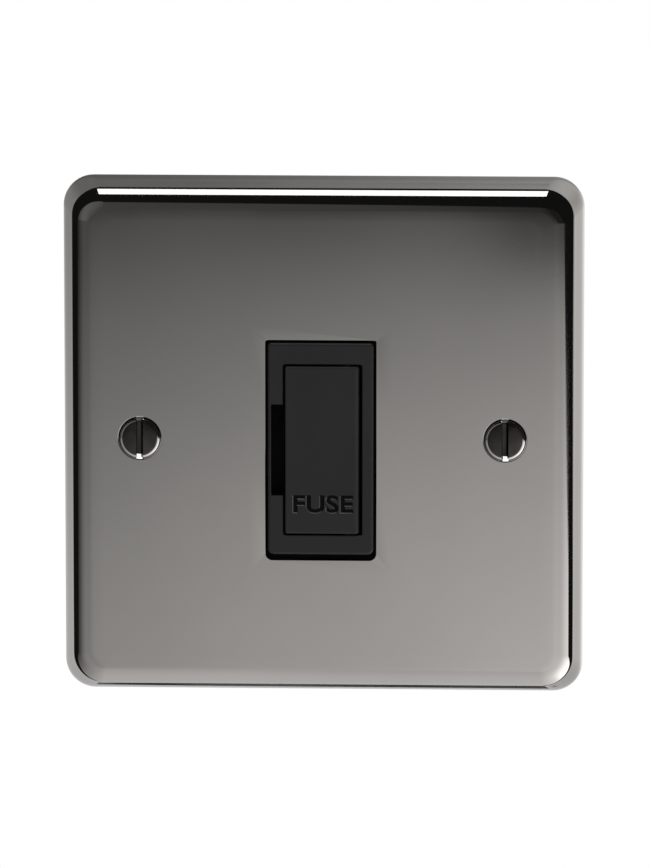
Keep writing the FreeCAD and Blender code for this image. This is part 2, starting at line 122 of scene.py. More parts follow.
class Layout:
    """The places and sizes that several pieces share, in millimetres."""

    screw_x = 30.15
    pillar_x = 20.3
    poles = {"neutral": -13.55, "live": 0.0, "earth": 13.55}
    rows = {"supply": 18.3, "load": -18.3}
    pivot = (4.225, -5.5)
    fuse = (-1.6995, -1.725)
    half_width = 25.1
    half_height = 25.15
    moulding_radius = 3.0


def toward(elevation: float, azimuth: float) -> Vector:
    """The direction from the unit at angles up from the front and to the right, in degrees."""
    pitch, yaw = math.radians(elevation), math.radians(azimuth)
    ahead = math.cos(pitch)
    return Vector((math.sin(yaw) * ahead, -math.cos(yaw) * ahead, math.sin(pitch)))


class Bench:
    """Blender's modelling operators, used on one piece at a time as by hand, in millimetres."""

    @staticmethod
    def clear() -> None:
        """Leaves edit mode and deselects everything."""
        if bpy.context.mode != "OBJECT":
            bpy.ops.object.mode_set(mode="OBJECT")
        bpy.ops.object.select_all(action="DESELECT")

    @staticmethod
    def hold(piece: Piece) -> None:
        """Makes one piece the only selected and the active one."""
        Bench.clear()
        piece.select_set(True)
        bpy.context.view_layer.objects.active = piece

    @staticmethod
    def settle(name: str) -> Piece:
        """Names the active piece and applies its place to its mesh."""
        piece = bpy.context.object
        piece.name = piece.data.name = name
        bpy.ops.object.transform_apply(location=True, rotation=True, scale=True)
        return piece

    @staticmethod
    def move(piece: Piece, name: str, way: Point) -> Piece:
        """Moves a piece, and names it where it comes to stand."""
        Bench.hold(piece)
        bpy.ops.transform.translate(value=way)
        return Bench.settle(name)

    @staticmethod
    def copy(piece: Piece, name: str, way: Point) -> Piece:
        """A copy with its own mesh, moved to its own place."""
        twin = piece.copy()
        twin.data = piece.data.copy()
        bpy.context.scene.collection.objects.link(twin)
        return Bench.move(twin, name, way)

    @staticmethod
    def pair(piece: Piece, stem: str, x: float) -> tuple[Piece, Piece]:
        """Moves a piece from the middle to the left, and sets its copy at the right."""
        left = Bench.move(piece, f"{stem}_left", (-x, 0, 0))
        return left, Bench.copy(left, f"{stem}_right", (2 * x, 0, 0))

    @staticmethod
    @contextmanager
    def editing(piece: Piece) -> Iterator[Piece]:
        """Keeps the piece in edit mode for as long as the block runs."""
        Bench.hold(piece)
        bpy.ops.object.mode_set(mode="EDIT")
        yield piece
        bpy.ops.object.mode_set(mode="OBJECT")

    @staticmethod
    def direction(item: bmesh.types.BMEdge | bmesh.types.BMFace, kind: Kind) -> Vector:
        """An edge's direction, or a face's normal."""
        if kind is Kind.EDGE:
            return (item.verts[1].co - item.verts[0].co).normalized()
        return item.normal

    @staticmethod
    def pick(
        piece: Piece,
        kind: Kind,
        where: Callable[[Vector], bool],
        facing: Optional[Callable[[Vector], bool]] = None,
    ) -> None:
        """Selects the parts of a mesh in edit mode by their place and direction.

        Args:
            piece: The piece, in edit mode.
            kind: Whether faces, edges or corners are selected.
            where: Passes or fails each corner's place, in millimetres. All have to pass.
            facing: Passes or fails a face's normal or an edge's direction.
        """
        bpy.ops.mesh.select_mode(type=kind.name)
        bpy.ops.mesh.select_all(action="DESELECT")
        mesh = bmesh.from_edit_mesh(piece.data)
        for item in getattr(mesh, kind.value):
            corners = [item] if kind is Kind.VERT else item.verts
            if not all(where(corner.co) for corner in corners):
                continue
            if facing is None or facing(Bench.direction(item, kind)):
                item.select_set(True)
        bmesh.update_edit_mesh(piece.data)

    @staticmethod
    def pick_all() -> None:
        """Selects all of the piece in edit mode."""
        bpy.ops.mesh.select_all(action="SELECT")

    @staticmethod
    def face_outwards() -> None:
        """Turns every face of the piece in edit mode outwards."""
        Bench.pick_all()
        bpy.ops.mesh.normals_make_consistent(inside=False)

    @staticmethod
    def resize(factors: Point, centre: Point = (0, 0, 0)) -> None:
        """Resizes what is selected about a centre."""
        bpy.ops.transform.resize(value=factors, center_override=centre)

    @staticmethod
    def extrude(way: Point, factors: Optional[Point] = None, centre: Point = (0, 0, 0)) -> None:
        """Extrudes the selection by a move, and then resizes it about a centre if told."""
        bpy.ops.mesh.extrude_region_move(TRANSFORM_OT_translate={"value": way})
        if factors is not None:
            Bench.resize(factors, centre)

    @staticmethod
    def bevel(width: float, steps: int, affect: str = "EDGES") -> None:
        """Rounds the selected edges, or the selected corners of a flat sheet."""
        bpy.ops.mesh.bevel(
            offset_type="OFFSET", offset=width, segments=steps, profile=0.5, affect=affect,
            clamp_overlap=False,
        )

    @staticmethod
    def modify(piece: Piece, kind: str, **settings: object) -> Piece:
        """Adds a modifier with its settings to a piece and applies it."""
        Bench.hold(piece)
        bpy.ops.object.modifier_add(type=kind)
        modifier = piece.modifiers[-1]
        for name, value in settings.items():
            setattr(modifier, name, value)
        bpy.ops.object.modifier_apply(modifier=modifier.name)
        return piece

    @staticmethod
    def work(piece: Piece, fit: Fit, *tools: Piece) -> Piece:
        """Cuts each tool's shape from the piece, or fuses it on, and puts the tool away."""
        for tool in tools:
            Bench.modify(piece, "BOOLEAN", operation=fit.value, solver="EXACT", object=tool)
            bpy.data.objects.remove(tool)
        return piece

    @staticmethod
    def block(name: str, x: Pair, y: Pair, z: Pair) -> Piece:
        """A block between three pairs of limits."""
        Bench.clear()
        bpy.ops.mesh.primitive_cube_add(
            size=1,
            location=(sum(x) / 2, sum(y) / 2, sum(z) / 2),
            scale=(x[1] - x[0], y[1] - y[0], z[1] - z[0]),
        )
        return Bench.settle(name)

    @staticmethod
    def rounded_block(name: str, x: Pair, y: Pair, z: Pair, radii: Pair, steps: int) -> Piece:
        """A block whose edges along Y are round.

        Args:
            name: The piece's name.
            x: Its limits across.
            y: Its limits in depth.
            z: Its limits in height.
            radii: The radius of the upper two edges and of the lower two.
            steps: How many facets each round has.

        Returns:
            The block.
        """
        piece = Bench.block(name, x, y, z)
        middle = sum(z) / 2
        for radius, above in zip(radii, (True, False)):
            with Bench.editing(piece):
                Bench.pick(
                    piece,
                    Kind.EDGE,
                    lambda p, above=above: (p.z > middle) == above,
                    lambda d: abs(d.y) > ALONG,
                )
                Bench.bevel(radius, steps)
        return piece

    @staticmethod
    def flare(cutter: Piece, x: Pair, z: Pair, front: float, steps: Pairs) -> Piece:
        """Widens a cutter's front end in steps, and carries it on in front of the face.

        Args:
            cutter: The cutter, a block.
            x: Its limits across.
            z: Its limits in height.
            front: Where its front end is.
            steps: Pairs of how far each step goes forwards and how much it adds to the width.

        Returns:
            The cutter.
        """
        centre = (sum(x) / 2, 0, sum(z) / 2)
        width, height = x[1] - x[0], z[1] - z[0]
        with Bench.editing(cutter):
            Bench.pick(cutter, Kind.FACE, lambda p: p.y < front + MERGE)
            for forward, grow in steps:
                factors = ((width + grow) / width, 1, (height + grow) / height)
                Bench.extrude((0, -forward, 0), factors, centre)
                width, height = width + grow, height + grow
            Bench.extrude((0, -PAST, 0))
        return cutter

    @staticmethod
    def turned(name: str, axis: Axis, foot: Point, stations: Pairs, sides: int) -> Piece:
        """Turns a solid round piece from a disc, extruded and resized from station to station.

        Args:
            name: The piece's name.
            axis: The axis that it stands on.
            foot: The point on its axis from which the stations are measured.
            stations: Pairs of the distance along the axis and the radius there.
            sides: How many sides it has.

        Returns:
            The round piece.
        """
        Bench.clear()
        along, foot = Vector(axis.value), Vector(foot)
        start, radius = stations[0]
        bpy.ops.mesh.primitive_circle_add(
            vertices=sides,
            radius=radius,
            fill_type="NGON",
            location=foot + along * start,
            rotation=along.to_track_quat("Z", "Y").to_euler(),
        )
        piece = Bench.settle(name)
        with Bench.editing(piece):
            Bench.pick_all()
            for (place, radius), (place_next, radius_next) in zip(stations, stations[1:]):
                factor = radius_next / radius
                way, centre = along * (place_next - place), foot + along * place_next
                Bench.extrude(way, (factor, factor, factor), centre)
            Bench.face_outwards()
        return piece

    @staticmethod
    def rod(name: str, axis: Axis, foot: Point, span: Pair, radius: float, sides: int) -> Piece:
        """A plain round rod, turned between the two ends of its span."""
        return Bench.turned(name, axis, foot, [(end, radius) for end in span], sides)

    @staticmethod
    def chamfered(span: Pair, radius: float, chamfer: float) -> list[Pair]:
        """The stations of a rod whose two ends are chamfered."""
        (start, end), less = span, radius - chamfer
        return [(start, less), (start + chamfer, radius), (end - chamfer, radius), (end, less)]

    @staticmethod
    def wind(screw: Piece, radius: float, depth: float, pitch: float, y: Pair) -> Piece:
        """Winds a screw's thread on along Y: a triangular ridge, sunk a little into the stud.

        Args:
            screw: The screw, turned to its thread's root.
            radius: The thread's outer radius.
            depth: How far its crest stands out from its root.
            pitch: The advance of one turn.
            y: Where the ridge starts and ends.

        Returns:
            The screw.
        """
        depth += THREAD_SINK
        Bench.clear()
        bpy.ops.mesh.primitive_circle_add(vertices=3, radius=1, fill_type="NOTHING")
        ridge = bpy.context.object
        ridge.scale = (pitch * 0.5, depth / 1.5, 1)
        ridge.rotation_euler = (0, 0, -math.pi / 2)
        ridge.location = (radius - depth + depth / 3, y[0] + pitch / 2, 0)
        Bench.settle("thread")
        turns = int((y[1] - y[0]) / pitch - 1)
        Bench.modify(
            ridge, "SCREW", axis="Y", screw_offset=pitch, iterations=turns, steps=20,
            render_steps=20,
        )
        with Bench.editing(ridge):
            Bench.pick_all()
            bpy.ops.mesh.fill_holes(sides=4)
            Bench.face_outwards()
        return Bench.work(screw, Fit.FUSE, ridge)

    @staticmethod
    def mark(piece: Piece, number: int, where: Callable[[Vector, Vector], bool]) -> None:
        """Gives the faces whose middle and normal pass a test the finish of that number."""
        for face in piece.data.polygons:
            if where(face.center, face.normal):
                face.material_index = number

    @staticmethod
    def finish(piece: Piece, body: str, slot: str, node: str, *coats: "Coat") -> None:
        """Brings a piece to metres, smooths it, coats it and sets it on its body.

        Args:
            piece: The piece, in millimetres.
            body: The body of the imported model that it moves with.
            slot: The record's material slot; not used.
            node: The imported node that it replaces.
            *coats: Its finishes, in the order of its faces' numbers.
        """
        Bench.hold(piece)
        Bench.resize((MM, MM, MM))
        bpy.ops.object.transform_apply(location=True, rotation=True, scale=True)
        bpy.ops.object.shade_smooth_by_angle(angle=math.radians(SMOOTH_ANGLE))
        Bench.modify(piece, "WEIGHTED_NORMAL", keep_sharp=True)
        numbers = [face.material_index for face in piece.data.polygons]
        piece.data.materials.clear()
        for coat in coats:
            piece.data.materials.append(coat.material())
        for face, number in zip(piece.data.polygons, numbers):
            face.material_index = min(number, len(coats) - 1)
        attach(piece, body)
        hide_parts(node)
        log.info("%s: %d faces, rides on %s", piece.name, len(piece.data.polygons), body)


class Sheet:
    """A material's, world's or group's node tree, with short ways to add and join its nodes."""

    def __init__(self, tree: Tree) -> None:
        """Keeps the tree, and empties it."""
        self.tree = tree
        tree.nodes.clear()

    @staticmethod
    def material(name: str) -> tuple[bpy.types.Material, "Sheet"]:
        """A new material and its empty sheet."""
        material = bpy.data.materials.new(name)
        material.use_nodes = True
        return material, Sheet(material.node_tree)

    def add(self, kind: str, settings: Optional[dict] = None, **inputs: object) -> bpy.types.Node:
        """Adds a node.

        Args:
            kind: The node's type, without the prefix of shader nodes.
            settings: Its properties by name.
            **inputs: Its inputs by name, with _ for a space: a value or another node's output.

        Returns:
            The node.
        """
        node = self.tree.nodes.new(f"ShaderNode{kind}")
        for name, value in (settings or {}).items():
            setattr(node, name, value)
        for name, value in inputs.items():
            wanted = name.replace("_", " ")
            self.feed(next(s for s in node.inputs if s.name == wanted and s.enabled), value)
        return node

    def feed(self, socket: Socket, value: object) -> None:
        """Joins an output to a socket, or sets the socket's own value."""
        if isinstance(value, Socket):
            self.tree.links.new(value, socket)
        else:
            socket.default_value = value

    def sum(self, operation: str, first: object, second: object = 0.0) -> Socket:
        """The output of a sum of two values, named as Blender names it."""
        node = self.add("Math", {"operation": operation})
        self.feed(node.inputs[0], first)
        self.feed(node.inputs[1], second)
        return node.outputs[0]

    def times(self, first: object, second: object) -> Socket:
        """Two values, multiplied."""
        return self.sum("MULTIPLY", first, second)

    def less(self, first: object, second: object) -> Socket:
        """The first value less the second."""
        return self.sum("SUBTRACT", first, second)

    def steer(self, value: object, span: Pair, to: Pair = (0.0, 1.0)) -> Socket:
        """The value carried smoothly from its span to another, and held at its ends."""
        settings = {"interpolation_type": "SMOOTHSTEP"}
        (start, end), (low, high) = span, to
        return self.add(
            "MapRange", settings, Value=value, From_Min=start, From_Max=end, To_Min=low,
            To_Max=high,
        ).outputs["Result"]

    def join(self, share: object, first: object, second: object) -> Socket:
        """The first value, or the second where the share is 1."""
        return self.add("Mix", {"data_type": "FLOAT"}, Factor=share, A=first, B=second).outputs[0]

    def curve(self, value: Socket, points: Pairs) -> Socket:
        """The value looked up along straight runs between points, held at its ends.

        Args:
            value: What is looked up.
            points: Pairs of a value and its result, in rising order.

        Returns:
            The result.
        """
        start, end = points[0][0], points[-1][0]
        top = max(result for _, result in points)
        along = self.add("MapRange", None, Value=value, From_Min=start, From_Max=end)
        ramp = self.add("ValToRGB", None, Fac=along.outputs["Result"])
        stops = ramp.color_ramp.elements
        while len(stops) < len(points):
            stops.new(0.5)
        for stop, (place, result) in zip(stops, points):
            stop.position = (place - start) / (end - start)
            stop.color = (result / top, result / top, result / top, 1.0)
        return self.times(ramp.outputs["Color"], top)

    def place(self) -> Socket:
        """The place on the object, in metres."""
        return self.add("TexCoord").outputs["Object"]

    def noise(self, place: object, scale: object, detail: float) -> Socket:
        """A soft random value over the surface."""
        node = self.add("TexNoise", None, Vector=place, Scale=scale, Detail=detail)
        return node.outputs["Fac"]

    def looked_at(self) -> Socket:
        """1 for rays that look, straight or by a mirror or glass, and 0 for those that light."""
        rays = self.add("LightPath").outputs
        seen = self.sum("MAXIMUM", rays["Is Camera Ray"], rays["Is Glossy Ray"])
        return self.sum("MAXIMUM", seen, rays["Is Transmission Ray"])


class Effects:
    """Shared node groups, each made once. They change a mask, value or colour over a surface."""

    @staticmethod
    def group(
        name: str, inputs: dict[str, object], outputs: dict[str, str]
    ) -> tuple[Sheet, Sockets, Sockets]:
        """Starts a group with named inputs and outputs.

        Args:
            name: The group's name.
            inputs: Each input's name and its starting value.
            outputs: Each output's name and what its socket holds.

        Returns:
            The group's sheet, what it is given, and the sockets that it puts out.
        """
        tree = bpy.data.node_groups.new(name, "ShaderNodeTree")
        kinds = {3: "Vector", 4: "Color"}
        for label, start in inputs.items():
            kind = kinds[len(start)] if isinstance(start, tuple) else "Float"
            socket = tree.interface.new_socket(
                name=label, in_out="INPUT", socket_type=f"NodeSocket{kind}"
            )
            socket.default_value = start
        for label, kind in outputs.items():
            tree.interface.new_socket(
                name=label, in_out="OUTPUT", socket_type=f"NodeSocket{kind}"
            )
        sheet = Sheet(tree)
        given = tree.nodes.new("NodeGroupInput").outputs
        return sheet, given, tree.nodes.new("NodeGroupOutput").inputs

    @staticmethod
    @cache
    def grain() -> Tree:
        """The fine texture of a spark-eroded mould: two sizes of random grain."""
        inputs = {"Place": (0.0, 0.0, 0.0), "Scale": 2600.0}
        sheet, given, out = Effects.group("moulded grain", inputs, {"Height": "Float"})
        fine = sheet.noise(given["Place"], given["Scale"], 2.0)
        coarse = sheet.noise(given["Place"], sheet.times(given["Scale"], 0.31), 1.0)
        sheet.feed(out["Height"], sheet.sum("ADD", fine, coarse))
        return sheet.tree

    @staticmethod
    @cache
    def handling() -> Tree:
        """The soft patches that wiping and touching leave on a finish."""
        inputs = {"Place": (0.0, 0.0, 0.0), "Scale": 60.0, "Low": 0.05, "High": 0.1}
        sheet, given, out = Effects.group("handling marks", inputs, {"Roughness": "Float"})
        mask = sheet.steer(sheet.noise(given["Place"], given["Scale"], 4.0), (0.35, 0.7))
        span = sheet.add("MapRange", None, Value=mask, To_Min=given["Low"], To_Max=given["High"])
        sheet.feed(out["Roughness"], span.outputs["Result"])
        return sheet.tree

    @staticmethod
    @cache
    def drawn_lines() -> Tree:
        """Fine lines along one way, as rolling, drawing or polishing leaves them."""
        inputs = {"Place": (0.0, 0.0, 0.0), "Spread": (1.0, 1.0, 1.0)}
        sheet, given, out = Effects.group("drawn lines", inputs, {"Height": "Float"})
        stretched = sheet.add("VectorMath", {"operation": "MULTIPLY"})
        sheet.feed(stretched.inputs[0], given["Place"])
        sheet.feed(stretched.inputs[1], given["Spread"])
        sheet.feed(out["Height"], sheet.noise(stretched.outputs[0], 1.0, 4.0))
        return sheet.tree

    @staticmethod
    @cache
    def tone() -> Tree:
        """A colour that drifts between two tones."""
        grey = (0.5, 0.5, 0.5, 1.0)
        inputs = {"Place": (0.0, 0.0, 0.0), "Scale": 40.0, "First": grey, "Second": grey}
        sheet, given, out = Effects.group("tone drift", inputs, {"Color": "Color"})
        mask = sheet.steer(sheet.noise(given["Place"], given["Scale"], 5.0), (0.3, 0.72))
        mix = sheet.add("Mix", {"data_type": "RGBA"}, Factor=mask)
        sheet.feed(mix.inputs[6], given["First"])
        sheet.feed(mix.inputs[7], given["Second"])
        sheet.feed(out["Color"], mix.outputs[2])
        return sheet.tree


@dataclass(frozen=True)
class Coat:
    """A finish: two tones, a range of roughness, and fine relief.

    Attributes:
        name: The material's name.
        first: Its main colour.
        second: The colour that it drifts to.
        rough: Its lowest and highest roughness.
        tone_scale: How close together its tones lie, per metre.
        relief: How deep its grain or lines are, in metres, and how much of them shows.
        lines: The spread of a bare or plated metal's lines along each axis. Others have none.
        grain_scale: How close together a plastic's or glaze's grain lies, per metre.
        specular: How strongly a plastic or glaze shines.
    """

    name: str
    first: Point
    second: Point
    rough: Pair
    tone_scale: float
    relief: Pair
    lines: Optional[Point] = None
    grain_scale: float = 0.0
    specular: float = 0.5

    def material(self) -> bpy.types.Material:
        """Builds the finish once and returns its material."""
        if self.name in bpy.data.materials:
            return bpy.data.materials[self.name]
        material, sheet = Sheet.material(self.name)
        place = sheet.place()

        def effect(tree: Tree, **inputs: object) -> Socket:
            """A shared effect's first output, over this surface."""
            return sheet.add("Group", {"node_tree": tree}, Place=place, **inputs).outputs[0]

        first, second, (low, high) = (*self.first, 1.0), (*self.second, 1.0), self.rough
        tone = effect(Effects.tone(), Scale=self.tone_scale, First=first, Second=second)
        marks = effect(Effects.handling(), Scale=self.tone_scale * 1.7, Low=low, High=high)
        if self.lines is None:
            height = effect(Effects.grain(), Scale=self.grain_scale)
        else:
            height = effect(Effects.drawn_lines(), Spread=self.lines)
        depth, strength = self.relief
        bump = sheet.add("Bump", None, Strength=strength, Distance=depth, Height=height)
        shader = sheet.add(
            "BsdfPrincipled",
            None,
            Base_Color=tone,
            Roughness=marks,
            Metallic=0.0 if self.lines is None else 1.0,
            Specular_IOR_Level=self.specular,
            Normal=bump.outputs["Normal"],
        )
        sheet.add("OutputMaterial", None, Surface=shader.outputs["BSDF"])
        material.diffuse_color = first
        return material


class Finish:
    """The unit's finishes: plated and bare metals, whose lines are set, mouldings and glaze."""

    plate = Coat(
        "polished black nickel", (0.40, 0.385, 0.37), (0.43, 0.412, 0.395), (0.045, 0.075),
        22.0, (0.0000012, 0.18), (900.0, 900.0, 5200.0),
    )
    # Painted highlight: the screw rim is a brighter copy of the screws' plating, standing in for
    # the bright crescent that light makes on it.
    screw_rim = Coat(
        "polished screw rim", (0.5, 0.485, 0.465), (0.57, 0.55, 0.525), (0.06, 0.12),
        40.0, (0.000002, 0.2), (2500.0, 2500.0, 2500.0),
    )
    # Painted shade: the screw face is a darker copy of the same plating, standing in for the dark
    # reflection on the dome.
    screw_face = Coat(
        "blackened screw face", (0.05, 0.047, 0.044), (0.07, 0.066, 0.062), (0.22, 0.32),
        320.0, (0.000006, 0.3), (4200.0, 900.0, 1500.0),
    )
    # Painted shadow: the darkest coat, put on the right side of each screw's slot.
    screw_slot = Coat(
        "blackened screw slot", (0.012, 0.0115, 0.011), (0.018, 0.017, 0.0165), (0.3, 0.45),
        320.0, (0.000006, 0.3), (1500.0, 1500.0, 4200.0),
    )
    cap = Coat(
        "nickel plated cap", (0.68, 0.66, 0.61), (0.74, 0.715, 0.665), (0.14, 0.28),
        260.0, (0.000004, 0.35), (1200.0, 1200.0, 9000.0),
    )
    spring = Coat(
        "rolled spring strip", (0.69, 0.43, 0.28), (0.76, 0.5, 0.33), (0.22, 0.38),
        130.0, (0.000006, 0.35), (6000.0, 6000.0, 500.0),
    )
    strip = Coat(
        "rolled brass strip", (0.76, 0.56, 0.28), (0.82, 0.63, 0.34), (0.2, 0.36),
        120.0, (0.000006, 0.35), (6000.0, 6000.0, 500.0),
    )
    brass = Coat(
        "sawn brass block", (0.78, 0.58, 0.29), (0.84, 0.65, 0.35), (0.2, 0.34),
        150.0, (0.000006, 0.4), (900.0, 7000.0, 7000.0),
    )
    passivated = Coat(
        "passivated zinc screw", (0.6, 0.57, 0.47), (0.66, 0.63, 0.56), (0.26, 0.42),
        240.0, (0.000006, 0.35), (5200.0, 1500.0, 5200.0),
    )
    zinc = Coat(
        "bright zinc steel", (0.6, 0.59, 0.56), (0.68, 0.67, 0.64), (0.24, 0.4),
        200.0, (0.000006, 0.35), (4200.0, 1200.0, 4200.0),
    )
    insert = Coat(
        "satin black moulding", (0.0132, 0.0131, 0.0147), (0.0158, 0.0157, 0.0173), (0.4, 0.5),
        90.0, (0.000012, 0.22), grain_scale=3400.0, specular=0.32,
    )
    carrier = Coat(
        "satin black carrier", (0.0133, 0.0132, 0.0149), (0.0159, 0.0158, 0.0175), (0.38, 0.47),
        110.0, (0.000012, 0.2), grain_scale=3800.0, specular=0.32,
    )
    # Painted shade: a near-black coat for the front moulding's deep faces and the word's hollows,
    # where shade falls.
    recess = Coat(
        "dull black recess", (0.0022, 0.0022, 0.0023), (0.0035, 0.0035, 0.0036), (0.6, 0.75),
        140.0, (0.00002, 0.3), grain_scale=3000.0, specular=0.08,
    )
    # Painted highlight: a lighter coat for the word's walls that face the key lamp.
    lettering = Coat(
        "worn black lettering", (0.05, 0.05, 0.054), (0.064, 0.064, 0.068), (0.34, 0.44),
        200.0, (0.000004, 0.15), grain_scale=2400.0, specular=0.6,
    )
    housing = Coat(
        "grained black moulding", (0.022, 0.022, 0.0235), (0.028, 0.028, 0.0295), (0.48, 0.62),
        70.0, (0.00003, 0.4), grain_scale=2100.0,
    )
    ceramic = Coat(
        "glazed fuse tube", (0.78, 0.755, 0.69), (0.83, 0.81, 0.75), (0.16, 0.26),
        180.0, (0.000008, 0.2), grain_scale=900.0,
    )


@dataclass
class FrontPlate:
    """The pressed plate: a shallow tray with a rounded shoulder, a hole and two dimples."""

    size: float = 86.0
    depth: float = 6.5
    wall: float = 1.0
    lip: float = 0.6
    lean: float = 2.3
    corner_radius: float = 5.0
    corner_steps: int = 12
    shoulder_radius: float = 3.3
    shoulder_steps: int = 16
    crown_width: float = 2.3
    crown_drop: float = 0.007
    crown_steps: int = 4
    skirt_steps: Pairs = ((1.1, 20.5), (1.1, 22.0), (1.1, 23.5))
    seams_x: tuple[float, ...] = (-25.0, -12.0, 11.5, 25.0)
    seams_z: tuple[float, ...] = (-22.5, -5.2, 5.2, 18.7)
    hole_x: Pair = (-9.375, 8.875)
    hole_z: Pair = (-20.25, 16.45)
    hole_radii: Pair = (0.3, 1.2)
    edge_round: float = 0.09
    edge_shares: Pairs = ((0.6, 0.3), (0.6, 0.9))
    dimple_form: Pairs = (
        (-6.0, 4.5), (-5.5, 4.5), (-5.38, 4.22), (-5.1, 3.8), (-4.5, 3.2), (-4.34, 3.0),
    )
    countersink_form: Pairs = (
        (-7.5, 3.76), (-6.52, 3.74), (-6.487, 3.65), (-6.455, 3.575), (-6.4, 3.5), (-6.34, 3.44),
        (-4.9, 2.0), (-4.0, 2.0),
    )

    @staticmethod
    def draw(rise: float, half: float, half_next: float) -> float:
        """Draws the picked face on, from one half width to the next, which it returns."""
        factor = half_next / half
        Bench.extrude((0, rise, 0), (factor, 1, factor))
        return half_next

    def skirt(self, front: float) -> tuple[list[Pair], float]:
        """Works out the skirt's slopes.

        Args:
            front: Where the face is, in depth.

        Returns:
            The skirt's stations, as depths and half widths, and how far the shoulder's round
            reaches over the face.
        """
        place, half = -self.lip, self.size / 2
        stations = []
        for rise, angle in self.skirt_steps:
            place, half = place - rise, half - rise * math.tan(math.radians(angle))
            stations.append((place, half))
        end = self.size / 2 - self.lean
        slope = math.atan2(half - end, place - front)
        reach = self.shoulder_radius * math.tan((math.pi / 2 - slope) / 2)
        return stations + [(front, end)], reach

    def tray(self) -> Piece:
        """Draws the tray from a flat blank and gives it its wall."""
        Bench.clear()
        bpy.ops.mesh.primitive_plane_add(size=self.size, rotation=(math.pi / 2, 0, 0))
        tray = Bench.settle("plate_pressing")
        front = -(self.depth - self.crown_drop)
        stations, reach = self.skirt(front)
        with Bench.editing(tray):
            Bench.pick_all()
            Bench.bevel(self.corner_radius, self.corner_steps, "VERTICES")
            Bench.pick_all()
            Bench.extrude((0, -self.lip, 0))
            place, half = -self.lip, self.size / 2
            for place_next, half_next in stations:
                half = self.draw(place_next - place, half, half_next)
                place = place_next
            Bench.pick(tray, Kind.EDGE, lambda p: p.y < front + MERGE)
            Bench.bevel(reach, self.shoulder_steps)
            Bench.pick(tray, Kind.FACE, lambda p: p.y < front + MERGE)
            half = self.size / 2 - self.lean - reach
            for step in range(self.crown_steps, 0, -1):
                share = (2 * step - 1) / self.crown_steps**2
                inner = half - self.crown_width / self.crown_steps
                half = self.draw(-self.crown_drop * share, half, inner)
            for seams, across in ((self.seams_x, (1, 0, 0)), (self.seams_z, (0, 0, 1))):
                for seam in seams:
                    Bench.pick_all()
                    bpy.ops.mesh.bisect(plane_co=Vector(across) * seam, plane_no=across)
            Bench.pick(tray, Kind.FACE, lambda p: p.y > -MERGE, lambda n: abs(n.y) > ALONG)
            bpy.ops.mesh.delete(type="FACE")
            Bench.face_outwards()
        return Bench.modify(
            tray, "SOLIDIFY", thickness=self.wall, offset=-1, use_even_offset=True
        )

    def window(self) -> Piece:
        """The punch for the hole, a little wider at the face, where the punch draws the edge in."""
        widen = self.edge_round
        edge = -self.depth + widen
        punch = Bench.rounded_block(
            "window_punch", self.hole_x, (edge, 0), self.hole_z, self.hole_radii, Fineness.corner
        )
        steps = [(widen * forward, 2 * widen * grow) for forward, grow in self.edge_shares]
        return Bench.flare(punch, self.hole_x, self.hole_z, edge, steps)

    def build(self) -> None:
        """Makes the plate and dresses it."""
        plate = Bench.work(self.tray(), Fit.CUT, self.window())
        for side in (-1, 1):
            foot = (side * Layout.screw_x, 0, 0)
            for form, sides, fit in (
                (self.dimple_form, Fineness.rod, Fit.FUSE),
                (self.countersink_form, Fineness.head, Fit.CUT),
            ):
                Bench.work(plate, fit, Bench.turned("dimple", Axis.Y, foot, form, sides))
        Bench.finish(plate, "unit", "plate_metal", "front_plate", Finish.plate)


